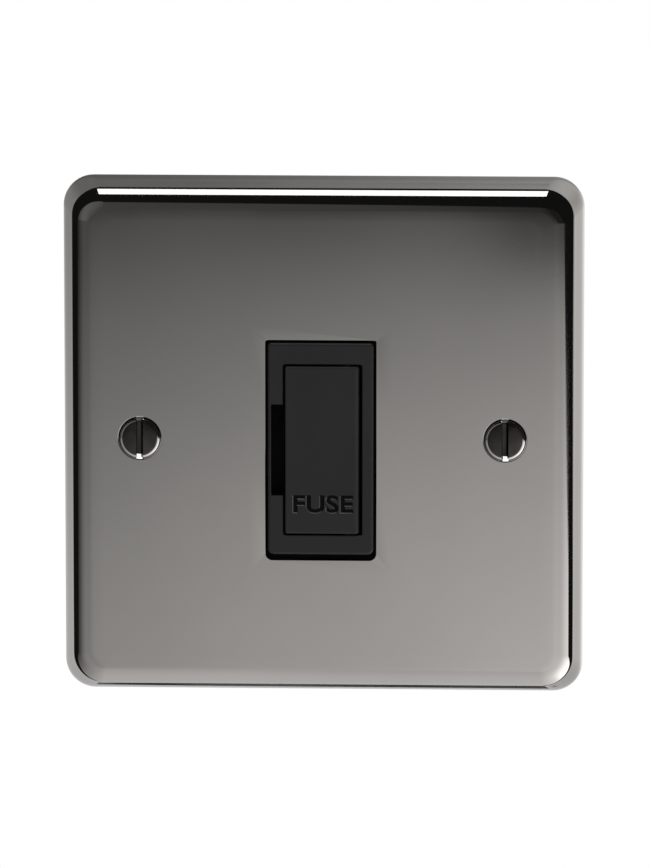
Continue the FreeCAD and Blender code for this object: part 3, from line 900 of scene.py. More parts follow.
@dataclass
class FixingScrews:
    """Two raised countersunk slotted screws, with their threads behind the plate."""

    face_y: float = -6.5
    rise: float = 0.5
    dome_radii: tuple[float, ...] = (0.05, 0.9, 1.8, 2.5, 2.9)
    dome_share: float = 0.5
    rim_radius: float = 0.3
    rim_start: float = 2.9
    rim_bends: Pairs = (
        (12.0, 0.1), (20.0, 0.1), (28.0, 0.1), (38.0, 0.08), (55.0, 0.08), (72.0, 0.08),
    )
    rim_side: Pairs = ((0.25, 0.0), (0.3, -0.04))
    head_radius: float = 3.5
    thread_radius: float = 1.75
    thread_depth: float = 0.36
    thread_pitch: float = 0.6
    thread_y: Pair = (-3.4, 18.1)
    tip_y: float = 18.5
    tip_chamfer: float = 0.35
    slot_width: float = 1.1
    slot_depth: float = 1.3
    slot_reach: float = 4.0
    slot_rounds: Pair = (0.1, 0.4)

    def stations(self) -> list[Pair]:
        """The outline from the low dome round the rim, down the cone and on to the tip."""
        top = self.face_y - self.rise
        drop = (self.rise - self.rim_radius) * self.dome_share
        dome = [(top + drop * (r / self.rim_start) ** 2, r) for r in self.dome_radii]
        place, radius = dome[-1]
        rim = []
        for tilt, run in self.rim_bends:
            place += run * math.sin(math.radians(tilt))
            radius += run * math.cos(math.radians(tilt))
            rim.append((place, radius))
        side = [(place + down, radius + out) for down, out in self.rim_side]
        root, tip = self.thread_radius - self.thread_depth, self.tip_chamfer
        cone_end = self.face_y + self.head_radius - root
        stud = [(cone_end, root), (self.tip_y - tip, root), (self.tip_y, root - tip)]
        return dome + rim + side + stud

    def screw(self) -> Piece:
        """Makes one screw on the plate's middle line."""
        screw = Bench.turned("screw", Axis.Y, (0, 0, 0), self.stations(), Fineness.head)
        radius, depth = self.thread_radius, self.thread_depth
        Bench.wind(screw, radius, depth, self.thread_pitch, self.thread_y)
        top, half, reach = self.face_y - self.rise, self.slot_width / 2, self.slot_reach
        depth = (top - PAST, top + self.slot_depth)
        slot = Bench.block("slot", (-half, half), depth, (-reach, reach))
        with Bench.editing(slot):
            for side, radius in zip((-1, 1), self.slot_rounds):
                Bench.pick(
                    slot,
                    Kind.EDGE,
                    lambda p, side=side: p.y > top and p.x * side > 0,
                    lambda d: abs(d.z) > ALONG,
                )
                Bench.bevel(radius, Fineness.small)
        return Bench.work(screw, Fit.CUT, slot)

    def build(self) -> None:
        """Makes both screws and dresses them: a brighter rim as a painted highlight round a darker
        face as painted shade, both copies of one plating, and a painted shadow in the slot's right
        side.
        """
        pattern = self.screw()
        deep, half = self.face_y + self.slot_depth, self.slot_width / 2
        face_radius = self.rim_start - 0.05
        # The span across the slot's right side that takes the painted shadow; it is the shaded
        # side, not a lit one.
        lit = (half - self.slot_rounds[1], half + MERGE)
        # Painted shade: the face inside the rim takes the darker coat.
        Bench.mark(pattern, 1, lambda p, n: p.y < deep and math.hypot(p.x, p.z) < face_radius)
        Bench.mark(
            pattern,
            2,
            lambda p, n: self.face_y < p.y < deep
            and lit[0] < p.x < lit[1]
            and abs(p.z) < self.head_radius - 0.1,
        )
        coats = (Finish.screw_rim, Finish.screw_face, Finish.screw_slot)
        for screw in Bench.pair(pattern, "fixing_screw", Layout.screw_x):
            Bench.finish(screw, "unit", "plate_screw_metal", "fixing_screws", *coats)


@dataclass
class FrontMoulding:
    """The carrier frame that shows through the plate, with its flange, pocket and rails."""

    frame_x: Pair = (-8.975, 8.475)
    frame_z: Pair = (-19.25, 16.05)
    frame_front: float = -7.1
    frame_radii: Pair = (0.55, 1.0)
    edge_radius: float = 0.45
    # How far behind the frame's front the painted shade of the recess coat starts.
    painted_shade_depth: float = 0.55
    opening_x: Pair = (-6.425, 6.575)
    opening_z: Pair = (-16.0, 12.5)
    opening_radii: Pair = (0.3, 0.3)
    opening_round: float = 0.14
    flange_y: Pair = (-5.5, -3.5)
    floor_y: Pair = (2.95, 4.45)
    pocket_wall: float = 1.2
    prise_left: float = -8.425
    prise_back: float = -4.3
    prise_z: Pair = (-9.35, 5.85)
    middle_half: float = 3.4
    rail_half: float = 2.85
    rail_end: float = 22.55
    core_half: float = 1.65
    core_y: Pair = (-3.5, 5.0)
    core_z: Pair = (0.6, 12.85)
    socket_radius: float = 1.08
    socket_reach: float = 1.4
    stem_x: Pair = (-2.3995, -0.9995)
    stem_z: Pair = (7.95, -11.45)
    stem_half: float = 2.6
    pillar_hole: float = 2.7
    pillar_hole_y: Pair = (-6.0, -3.0)

    def frame(self) -> Piece:
        """The part that shows: a block with rounded corners and a softened front edge."""
        depth = (self.frame_front, self.flange_y[1])
        block = Bench.rounded_block(
            "carrier_frame", self.frame_x, depth, self.frame_z, self.frame_radii, Fineness.corner
        )
        with Bench.editing(block):
            Bench.pick(block, Kind.EDGE, lambda p: p.y < self.frame_front + MERGE)
            Bench.bevel(self.edge_radius, Fineness.edge)
        return block

    def backing(self) -> Iterator[Piece]:
        """The flange, the pocket round the fuse, and the rails that carry the strips."""
        width, height, wall = Layout.half_width, Layout.half_height, self.pocket_wall
        radii = (Layout.moulding_radius, Layout.moulding_radius)
        yield Bench.rounded_block(
            "flange", (-width, width), self.flange_y, (-height, height), radii, Fineness.edge
        )
        depth = (self.flange_y[0] + 0.1, self.floor_y[1])
        (left, right), (low, high) = self.opening_x, self.opening_z
        yield Bench.block("pocket", (left - wall, right + wall), depth, (low - wall, high + wall))
        rails = ((0.0, self.middle_half), *((x, self.rail_half) for x in self.outer_poles()))
        for x, half in rails:
            ends = (-self.rail_end, self.rail_end)
            yield Bench.block("rail", (x - half, x + half), depth, ends)

    @staticmethod
    def outer_poles() -> tuple[float, float]:
        """Where the outer two poles are."""
        return Layout.poles["neutral"], Layout.poles["earth"]

    def opening(self) -> Piece:
        """The cutter for the carrier's opening, a little wider at its mouth."""
        x, z, widen = self.opening_x, self.opening_z, self.opening_round
        mouth = self.frame_front + widen
        depth = (mouth, self.floor_y[0])
        cutter = Bench.rounded_block("opening", x, depth, z, self.opening_radii, Fineness.small)
        return Bench.flare(cutter, x, z, mouth, [(widen, 2 * widen)])

    def cutters(self) -> Iterator[Piece]:
        """The cutters for the prise slot, the pivot's sockets, the cores and the holes."""
        across = (self.prise_left, self.opening_x[0] + SINK)
        depth = (self.frame_front - PAST, self.prise_back)
        yield Bench.block("prise_slot", across, depth, self.prise_z)
        low, high = self.opening_z
        span = (low - self.socket_reach, high + self.socket_reach)
        foot = (*Layout.pivot, 0)
        yield Bench.rod("sockets", Axis.Z, foot, span, self.socket_radius, Fineness.pin)
        for z in self.stem_z:
            height = (z - self.stem_half, z + self.stem_half)
            depth = (self.floor_y[0] - SINK, self.core_y[1])
            yield Bench.block("stem_slot", self.stem_x, depth, height)
        low, high = self.core_z
        for side, x in zip((-1, 1), self.outer_poles()):
            foot = (side * Layout.pillar_x, 0, 0)
            span, radius = self.pillar_hole_y, self.pillar_hole
            yield Bench.rod("pillar_hole", Axis.Y, foot, span, radius, Fineness.pin)
            for height in ((low, high), (-high, -low)):
                across = (x - self.core_half, x + self.core_half)
                yield Bench.block("core", across, self.core_y, height)

    def build(self) -> None:
        """Makes the moulding and dresses it."""
        moulding = Bench.work(self.frame(), Fit.FUSE, *self.backing())
        Bench.work(moulding, Fit.CUT, self.opening(), *self.cutters())
        moulding.name = "front_moulding"
        # Painted shade: faces more than this depth behind the frame's front take the near-black
        # recess coat.
        Bench.mark(moulding, 1, lambda p, n: p.y > self.frame_front + self.painted_shade_depth)
        coats = (Finish.insert, Finish.recess)
        Bench.finish(moulding, "unit", "insert_moulding", "front_housing", *coats)


@dataclass
class FuseCarrier:
    """The carrier that turns out: its door with the word FUSE, cheeks, pins and cradle."""

    door_x: Pair = (-6.125, 6.125)
    door_y: Pair = (-7.4, -5.2)
    door_z: Pair = (-15.7, 12.2)
    hinge_round: float = 0.8
    edge_round: float = 0.3
    cheek_wall: float = 1.0
    cheek_y: Pair = (-5.8, 0.775)
    cheek_right: float = 5.425
    swing_radius: float = 10.2
    pin_radius: float = 1.0
    pin_length: float = 1.4
    pin_chamfer: float = 0.25
    grip_radius: float = 2.855
    cradle_wall: float = 1.0
    cradle_chamfer: float = 0.15
    cradle_z: Pair = (-7.75, 4.25)
    web_half: float = 2.3
    web_start: float = -5.4
    mouth_half_angle: float = 60.0
    word: str = "FUSE"
    word_size: float = 4.0
    word_spacing: float = 1.06
    word_width: float = 10.05
    word_height: float = 3.1
    word_centre: Pair = (0.12, -10.75)
    word_slope: float = 0.14
    word_floor: float = 0.06
    word_weight: float = 0.19
    word_depth: float = 0.4
    lit_slope: float = 0.15

    def door(self) -> Piece:
        """The door: rounder along its hinge edge, softened along the others."""
        door = Bench.block("fuse_carrier_door", self.door_x, self.door_y, self.door_z)
        front = self.door_y[0] + MERGE
        (left, right), (low, high) = self.door_x, self.door_z
        with Bench.editing(door):
            Bench.pick(door, Kind.EDGE, lambda p: p.y < front and p.x > right - MERGE)
            Bench.bevel(self.hinge_round, Fineness.corner)
            Bench.pick(door, Kind.EDGE, lambda p: p.y < front and p.x < left + MERGE)
            Bench.bevel(self.edge_round, Fineness.small)
            Bench.pick(
                door,
                Kind.EDGE,
                lambda p: p.z < low + MERGE or p.z > high - MERGE,
                lambda d: abs(d.z) < ALONG,
            )
            Bench.bevel(self.edge_round, Fineness.small)
        return door

    def lettering(self) -> list[Piece]:
        """The word's letters as cutters with sloping sides, their middles in the door's face."""
        Bench.clear()
        bpy.ops.object.text_add()
        text = bpy.context.object.data
        text.body = self.word
        text.size = self.word_size
        text.space_character = self.word_spacing
        text.align_x, text.align_y = "CENTER", "CENTER"
        text.extrude = self.word_floor
        text.bevel_depth = self.word_slope
        text.offset = self.word_weight - self.word_slope
        text.bevel_resolution = 0
        text.resolution_u = 8
        bpy.ops.object.convert(target="MESH")
        word = bpy.context.object
        low, high = (
            [pick(v.co[i] for v in word.data.vertices) for i in (0, 1)] for pick in (min, max)
        )
        with Bench.editing(word):
            Bench.pick_all()
            bpy.ops.mesh.remove_doubles(threshold=MERGE)
            Bench.face_outwards()
            middle = [(low[i] + high[i]) / 2 for i in (0, 1)]
            bpy.ops.transform.translate(value=(-middle[0], -middle[1], 0))
        width, height = high[0] - low[0], high[1] - low[1]
        word.scale = (self.word_width / width, self.word_height / height, 1.0)
        word.rotation_euler = (math.pi / 2, 0, 0)
        word.location = (self.word_centre[0], self.door_y[0], self.word_centre[1])
        Bench.settle("letter")
        with Bench.editing(word):
            Bench.pick_all()
            bpy.ops.mesh.separate(type="LOOSE")
        return [piece for piece in bpy.data.objects if piece.name.startswith("letter")]

    def cheeks(self) -> Iterator[Piece]:
        """The two end cheeks, trimmed to the swing, with their pivot pins."""
        wall, pin, foot = self.cheek_wall, self.pin_length, (*Layout.pivot, 0)
        bottom, top = self.door_z
        across = (self.door_x[0], self.cheek_right)
        for low, high, start, end in (
            (bottom, bottom + wall, bottom - pin, bottom + wall),
            (top - wall, top, top - wall, top + pin),
        ):
            cheek = Bench.block("cheek", across, self.cheek_y, (low, high))
            span = (low - PAST, high + PAST)
            reach = Bench.rod("reach", Axis.Z, foot, span, self.swing_radius, Fineness.sweep)
            yield Bench.work(cheek, Fit.COMMON, reach)
            stations = Bench.chamfered((start, end), self.pin_radius, self.pin_chamfer)
            yield Bench.turned("pin", Axis.Z, foot, stations, Fineness.pin)

    def cradle(self) -> Piece:
        """The jaws that hold the fuse's tube, on a web behind the door, open on one side."""
        (x, y), (low, high) = Layout.fuse, self.cradle_z
        outer = self.grip_radius + self.cradle_wall
        stations = Bench.chamfered((low, high), outer, self.cradle_chamfer)
        jaws = Bench.turned("cradle", Axis.Z, (x, y, 0), stations, Fineness.fuse)
        across = (x - self.web_half, x + self.web_half)
        Bench.work(jaws, Fit.FUSE, Bench.block("web", across, (self.web_start, y), (low, high)))
        span = (low - PAST, high + PAST)
        bore = Bench.rod("bore", Axis.Z, (x, y, 0), span, self.grip_radius, Fineness.fuse)
        Bench.work(jaws, Fit.CUT, bore)
        mouth = Bench.block("mouth", (0, 1), (-0.5, 0.5), span)
        with Bench.editing(mouth):
            Bench.pick(mouth, Kind.VERT, lambda p: p.x < 0.5)
            Bench.resize((1, 0.001, 1))
        spread = 2 * outer * math.tan(math.radians(self.mouth_half_angle))
        mouth.scale = (2 * outer, 2 * spread, 1)
        mouth.rotation_euler = (0, 0, math.atan2(y - Layout.pivot[1], x - Layout.pivot[0]))
        mouth.location = (x, y, 0)
        Bench.hold(mouth)
        Bench.settle("mouth")
        return Bench.work(jaws, Fit.CUT, mouth)

    def in_word(self, place: Vector) -> bool:
        """Whether a place on the carrier is inside the pressed word.

        Args:
            place: The place, in millimetres.

        Returns:
            Whether it is behind the door's face, within the word's box.
        """
        (x, z), front = self.word_centre, self.door_y[0]
        return (
            front + MERGE < place.y < front + self.word_depth
            and abs(place.x - x) < self.word_width / 2 + 0.1
            and abs(place.z - z) < self.word_height / 2 + 0.1
        )

    def build(self) -> None:
        """Makes the carrier and dresses it, with a painted highlight on the word's walls that face
        up and right, towards the key lamp, and painted shade on the word's other faces.
        """
        carrier = Bench.work(self.door(), Fit.FUSE, *self.cheeks(), self.cradle())
        Bench.work(carrier, Fit.CUT, *self.lettering())
        # Painted shade on all of the word's faces, then a painted highlight on its walls that face
        # up and right.
        Bench.mark(carrier, 2, lambda p, n: self.in_word(p))
        Bench.mark(carrier, 1, lambda p, n: self.in_word(p) and n.x + n.z > self.lit_slope)
        coats = (Finish.carrier, Finish.lettering, Finish.recess)
        Bench.finish(carrier, "carrier", "carrier_moulding", "fuse_carrier", *coats)


@dataclass
class CartridgeFuse:
    """The fuse: a glazed tube between two drawn caps, crimped near their mouths."""

    foot: Point = (*Layout.fuse, -1.75)
    length: float = 25.4
    tube_radius: float = 2.795
    tube_round: float = 0.2
    cap_radius: float = 3.175
    cap_length: float = 6.0
    cap_wall: float = 0.35
    mouth_round: float = 0.06
    mouth_gap: float = 0.03
    crimp: float = 0.12
    crimp_form: Pairs = ((0.08, 0.0), (0.9, 0.0), (1.15, 1.0), (1.4, 1.0), (1.65, 0.0))
    bend: float = 0.134

    def tube(self) -> Piece:
        """The tube, which ends inside the caps."""
        half = self.length / 2 - self.cap_wall
        stations = Bench.chamfered((-half, half), self.tube_radius, self.tube_round)
        return Bench.turned("fuse_tube", Axis.Z, self.foot, stations, Fineness.fuse)

    def cap(self) -> Piece:
        """The upper cap, with a rounded end, a crimp and a mouth."""
        end, radius, wall = self.length / 2, self.cap_radius, self.cap_wall
        mouth, bend = end - self.cap_length, self.bend
        stations = [
            (mouth, radius - self.mouth_round),
            *((mouth + up, radius - self.crimp * share) for up, share in self.crimp_form),
            (end - wall, radius),
            (end - wall * 0.5, radius - wall * bend),
            (end - wall * bend, radius - wall * 0.5),
            (end, radius - wall),
            (end, 0.9),
            (end - 0.06, 0.7),
        ]
        cap = Bench.turned("fuse_cap_top", Axis.Z, self.foot, stations, Fineness.fuse)
        level = self.foot[2] + mouth + MERGE
        with Bench.editing(cap):
            Bench.pick(cap, Kind.FACE, lambda p: p.z < level, lambda n: n.z < -ALONG)
            rim = radius - self.mouth_round - self.tube_radius - self.mouth_gap
            bpy.ops.mesh.inset(thickness=rim, depth=0)
            Bench.extrude((0, 0, self.cap_length - wall - 0.1))
        return cap

    def build(self) -> None:
        """Makes the fuse and dresses it."""
        Bench.finish(self.tube(), "carrier", "ceramic", "fuse_barrel", Finish.ceramic)
        top = self.cap()
        bottom = Bench.copy(top, "fuse_cap_bottom", (0, 0, 0))
        with Bench.editing(bottom):
            Bench.pick_all()
            Bench.resize((1, 1, -1), (0, 0, self.foot[2]))
            bpy.ops.mesh.flip_normals()
        for cap, node in ((top, "fuse_cap_upper"), (bottom, "fuse_cap_lower")):
            Bench.finish(cap, "carrier", "cap_metal", node, Finish.cap)


@dataclass
class TerminalHousing:
    """The rear moulding: an open box with screw wells, wire ports, barriers and bosses."""

    front_y: float = -3.5
    inside_back: float = 17.55
    back_y: float = 19.35
    edge_radius: float = 0.8
    wall: float = 1.6
    weld: float = 0.3
    block_back: float = 13.25
    well_radius: float = 3.25
    well_wall: float = 1.0
    well_edge: Pairs = ((-0.3, 0.0), (-0.1, 0.08), (0.0, 0.28), (1.0, 0.28))
    wire_y: float = 8.55
    port_radius: float = 2.6
    port_flare: float = 0.8
    barrier_wall: float = 1.2
    barrier_y: float = 4.75
    barrier_inner: float = 13.05
    boss_radius: float = 4.0
    boss_starts: Pair = (4.45, 5.25)
    screw_hole: float = 1.7
    seat_radius: float = 3.0
    seat_y: float = 16.65
    seat_edge: Pairs = ((-0.2, 0.0), (0.4, 0.5))

    def shell(self) -> Piece:
        """The box with its rounded back edge and its cavity."""
        width, height = Layout.half_width, Layout.half_height
        radius, wall, back = Layout.moulding_radius, self.wall, self.back_y
        shell = Bench.rounded_block(
            "rear_moulding", (-width, width), (self.front_y, back), (-height, height),
            (radius, radius), Fineness.corner,
        )
        with Bench.editing(shell):
            Bench.pick(shell, Kind.EDGE, lambda p: p.y > back - MERGE)
            Bench.bevel(self.edge_radius, Fineness.edge)
        cavity = Bench.rounded_block(
            "cavity", (-width + wall, width - wall), (self.front_y - PAST, self.inside_back),
            (-height + wall, height - wall), (radius - wall, radius - wall), Fineness.edge,
        )
        return Bench.work(shell, Fit.CUT, cavity)

    @staticmethod
    def terminals() -> Iterator[Pair]:
        """The middle of each terminal, across and in height."""
        for x in Layout.poles.values():
            for z in Layout.rows.values():
                yield x, z

    def bosses(self) -> Iterator[tuple[Point, float]]:
        """Each screw boss's foot on the middle plane, and where it starts in depth."""
        for side, start in zip((-1, 1), self.boss_starts):
            yield (side * Layout.pillar_x, 0, 0), start

    def additions(self) -> Iterator[Piece]:
        """The collars round the wells, the barriers between the poles and the screw bosses."""
        top, radius = self.inside_back + self.weld, self.well_radius + self.well_wall
        for x, z in self.terminals():
            span = (self.block_back, top)
            yield Bench.rod("collar", Axis.Y, (x, 0, z), span, radius, Fineness.rod)
        middle, half = Layout.poles["earth"] / 2, self.barrier_wall / 2
        low, high = self.barrier_inner, Layout.half_height - self.wall / 2
        for x in (-middle, middle):
            for height in ((-high, -low), (low, high)):
                yield Bench.block("barrier", (x - half, x + half), (self.barrier_y, top), height)
        for foot, start in self.bosses():
            yield Bench.rod("boss", Axis.Y, foot, (start, top), self.boss_radius, Fineness.rod)

    def cutters(self) -> Iterator[Piece]:
        """The cutters for the wells, the flared wire ports and the screws' counterbores."""
        back, well = self.back_y, self.well_radius
        outside, port, flare = Layout.half_height, self.port_radius, self.port_flare
        well_form = [(self.block_back - SINK, well)]
        well_form += [(back + along, well + out) for along, out in self.well_edge]
        upward = [
            (outside - self.wall - SINK, port), (outside - flare, port), (outside, port + flare),
            (outside + SINK, port + flare),
        ]
        downward = [(-along, radius) for along, radius in reversed(upward)]
        for x, z in self.terminals():
            yield Bench.turned("well", Axis.Y, (x, 0, z), well_form, Fineness.screw)
            form, foot = upward if z > 0 else downward, (x, self.wire_y, 0)
            yield Bench.turned("port", Axis.Z, foot, form, Fineness.screw)
        seat_form = [(self.seat_y, self.seat_radius)]
        seat_form += [(back + along, self.seat_radius + out) for along, out in self.seat_edge]
        for foot, start in self.bosses():
            span = (start - SINK, back + SINK)
            yield Bench.rod("screw_hole", Axis.Y, foot, span, self.screw_hole, Fineness.pin)
            yield Bench.turned("seat", Axis.Y, foot, seat_form, Fineness.rod)

    def build(self) -> None:
        """Makes the housing and dresses it."""
        housing = Bench.work(self.shell(), Fit.FUSE, *self.additions())
        Bench.work(housing, Fit.CUT, *self.cutters())
        Bench.finish(housing, "unit", "housing_moulding", "rear_housing", Finish.housing)


@dataclass
class TerminalScrews:
    """The six clamp screws, each of which moves on its own body."""

    tip_y: float = 10.75
    tip_chamfer: float = 0.4
    seat_y: float = 16.75
    top_y: float = 18.75
    neck_form: Pairs = ((-0.5, 0.0), (-0.3, -0.1), (0.0, 0.0))
    head_radius: float = 2.8
    head_edge: float = 0.12
    shank_radius: float = 1.75
    thread_depth: float = 0.3
    thread_pitch: float = 0.6
    thread_gap: float = 0.3
    chamfer: float = 0.35
    chamfer_bend: Pair = (0.35, 0.3)
    slot_half: float = 0.4
    slot_round: float = 0.1
    slot_depth: float = 1.0
    cross_half: float = 1.5

    def screw(self) -> Piece:
        """Makes one screw on the middle line."""
        root, head, edge = self.shank_radius - self.thread_depth, self.head_radius, self.head_edge
        tip, seat, top, chamfer = self.tip_y, self.seat_y, self.top_y, self.chamfer
        stations = [
            (tip, root - self.tip_chamfer),
            (tip + self.tip_chamfer, root),
            *((seat + along, root + out) for along, out in self.neck_form),
            (seat, head - edge),
            (seat + edge, head),
            (top - chamfer, head),
            (top - chamfer * self.chamfer_bend[0], head - chamfer * self.chamfer_bend[1]),
            (top, head - chamfer),
        ]
        screw = Bench.turned("terminal_screw", Axis.Y, (0, 0, 0), stations, Fineness.screw)
        span = (tip + self.thread_gap, seat - self.thread_gap)
        Bench.wind(screw, self.shank_radius, self.thread_depth, self.thread_pitch, span)
        floor, half, reach = top - self.slot_depth, self.slot_half, head + PAST
        for wide, tall in ((half, reach), (self.cross_half, half)):
            slot = Bench.block("slot", (-wide, wide), (floor, top + PAST), (-tall, tall))
            with Bench.editing(slot):
                Bench.pick(slot, Kind.EDGE, lambda p: p.y < floor + MERGE)
                Bench.bevel(self.slot_round, Fineness.crisp)
            Bench.work(screw, Fit.CUT, slot)
        return screw

    def build(self) -> None:
        """Makes the six screws and sets each on its own body."""
        pattern = self.screw()
        for pole, x in Layout.poles.items():
            for row, z in Layout.rows.items():
                name = f"{pole}_{row}"
                screw = Bench.copy(pattern, f"{name}_clamp_screw", (x, 0, z))
                node = f"{name}_screw"
                coat = Finish.passivated
                Bench.finish(screw, f"{name}_clamp", "terminal_screw_metal", node, coat)
        bpy.data.objects.remove(pattern)


@dataclass
class AssemblyScrews:
    """The two screws that draw both mouldings onto the pillars."""

    tip_y: float = -0.75
    tip_chamfer: float = 0.3
    seat_y: float = 16.65
    top_y: float = 18.55
    head_radius: float = 2.7
    head_form: Pairs = ((-0.8, 0.0), (-0.5, -0.1), (-0.25, -0.35), (-0.08, -0.8), (0.0, -1.5))
    shank_radius: float = 1.5
    thread_depth: float = 0.26
    thread_pitch: float = 0.5
    thread_ends: Pair = (0.2, 6.0)
    recess_arms: Pairs = ((0.35, 1.7), (1.7, 0.35))
    recess_depth: float = 1.1
    recess_taper: float = 0.55

    def build(self) -> None:
        """Makes both screws and dresses them."""
        root, tip, top = self.shank_radius - self.thread_depth, self.tip_y, self.top_y
        stations = [
            (tip, root - self.tip_chamfer),
            (tip + self.tip_chamfer, root),
            (self.seat_y, root),
            (self.seat_y, self.head_radius),
            *((top + along, self.head_radius + out) for along, out in self.head_form),
        ]
        pattern = Bench.turned("screw", Axis.Y, (0, 0, 0), stations, Fineness.screw)
        span = (tip + self.thread_ends[0], self.seat_y - self.thread_ends[1])
        Bench.wind(pattern, self.shank_radius, self.thread_depth, self.thread_pitch, span)
        for wide, tall in self.recess_arms:
            depth = (top - self.recess_depth, top + PAST)
            recess = Bench.block("recess", (-wide, wide), depth, (-tall, tall))
            with Bench.editing(recess):
                Bench.pick(recess, Kind.FACE, lambda p: p.y < top)
                Bench.resize((self.recess_taper, 1, self.recess_taper))
            Bench.work(pattern, Fit.CUT, recess)
        for screw in Bench.pair(pattern, "assembly_screw", Layout.pillar_x):
            Bench.finish(screw, "unit", "zinc_steel", "assembly_screws", Finish.zinc)


class BrassWork:
    """The blocks, strips, clips and pillars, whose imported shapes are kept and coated."""

    def build(self) -> None:
        """Coats each kept node."""
        coats = {
            "plate_pillars": Finish.zinc,
            "supply_fuse_clip": Finish.spring,
            "load_fuse_clip": Finish.spring,
            "neutral_link": Finish.strip,
            "earth_link": Finish.strip,
        }
        for pole in Layout.poles:
            for row in Layout.rows:
                coats[f"{pole}_{row}_terminal"] = Finish.brass
        for name, coat in coats.items():
            node = frame["nodes"][name]
            if not node.material_slots:
                node.data.materials.append(coat.material())
            for held in node.material_slots:
                held.material = coat.material()
            log.info("%s: kept, coated with %s", name, coat.name)


class Ray(Enum):
    """The kinds of ray that may see a piece of the stage."""

    CAMERA = "visible_camera"
    DIFFUSE = "visible_diffuse"
    GLOSSY = "visible_glossy"
    TRANSMISSION = "visible_transmission"
    VOLUME = "visible_volume_scatter"
    SHADOW = "visible_shadow"


class Stage:
    """Ways to set up the pieces round the unit, in metres."""

    @staticmethod
    def plain(name: str) -> Piece:
        """Names the stage piece just added."""
        piece = bpy.context.object
        piece.name = name
        return piece

    @staticmethod
    def glow(piece: Piece, material: bpy.types.Material, sheet: Sheet, strength: object) -> None:
        """Makes a stage piece glow, and leaves it to be seen in reflections and glass alone.

        Args:
            piece: The stage piece.
            material: Its material.
            sheet: The material's sheet.
            strength: How strongly it glows, as a value or a node's output.
        """
        light = sheet.add("Emission", None, Strength=strength)
        sheet.add("OutputMaterial", None, Surface=light.outputs[0])
        material.cycles.emission_sampling = "NONE"
        piece.data.materials.append(material)
        for ray in Ray:
            setattr(piece, ray.value, ray in (Ray.GLOSSY, Ray.TRANSMISSION))


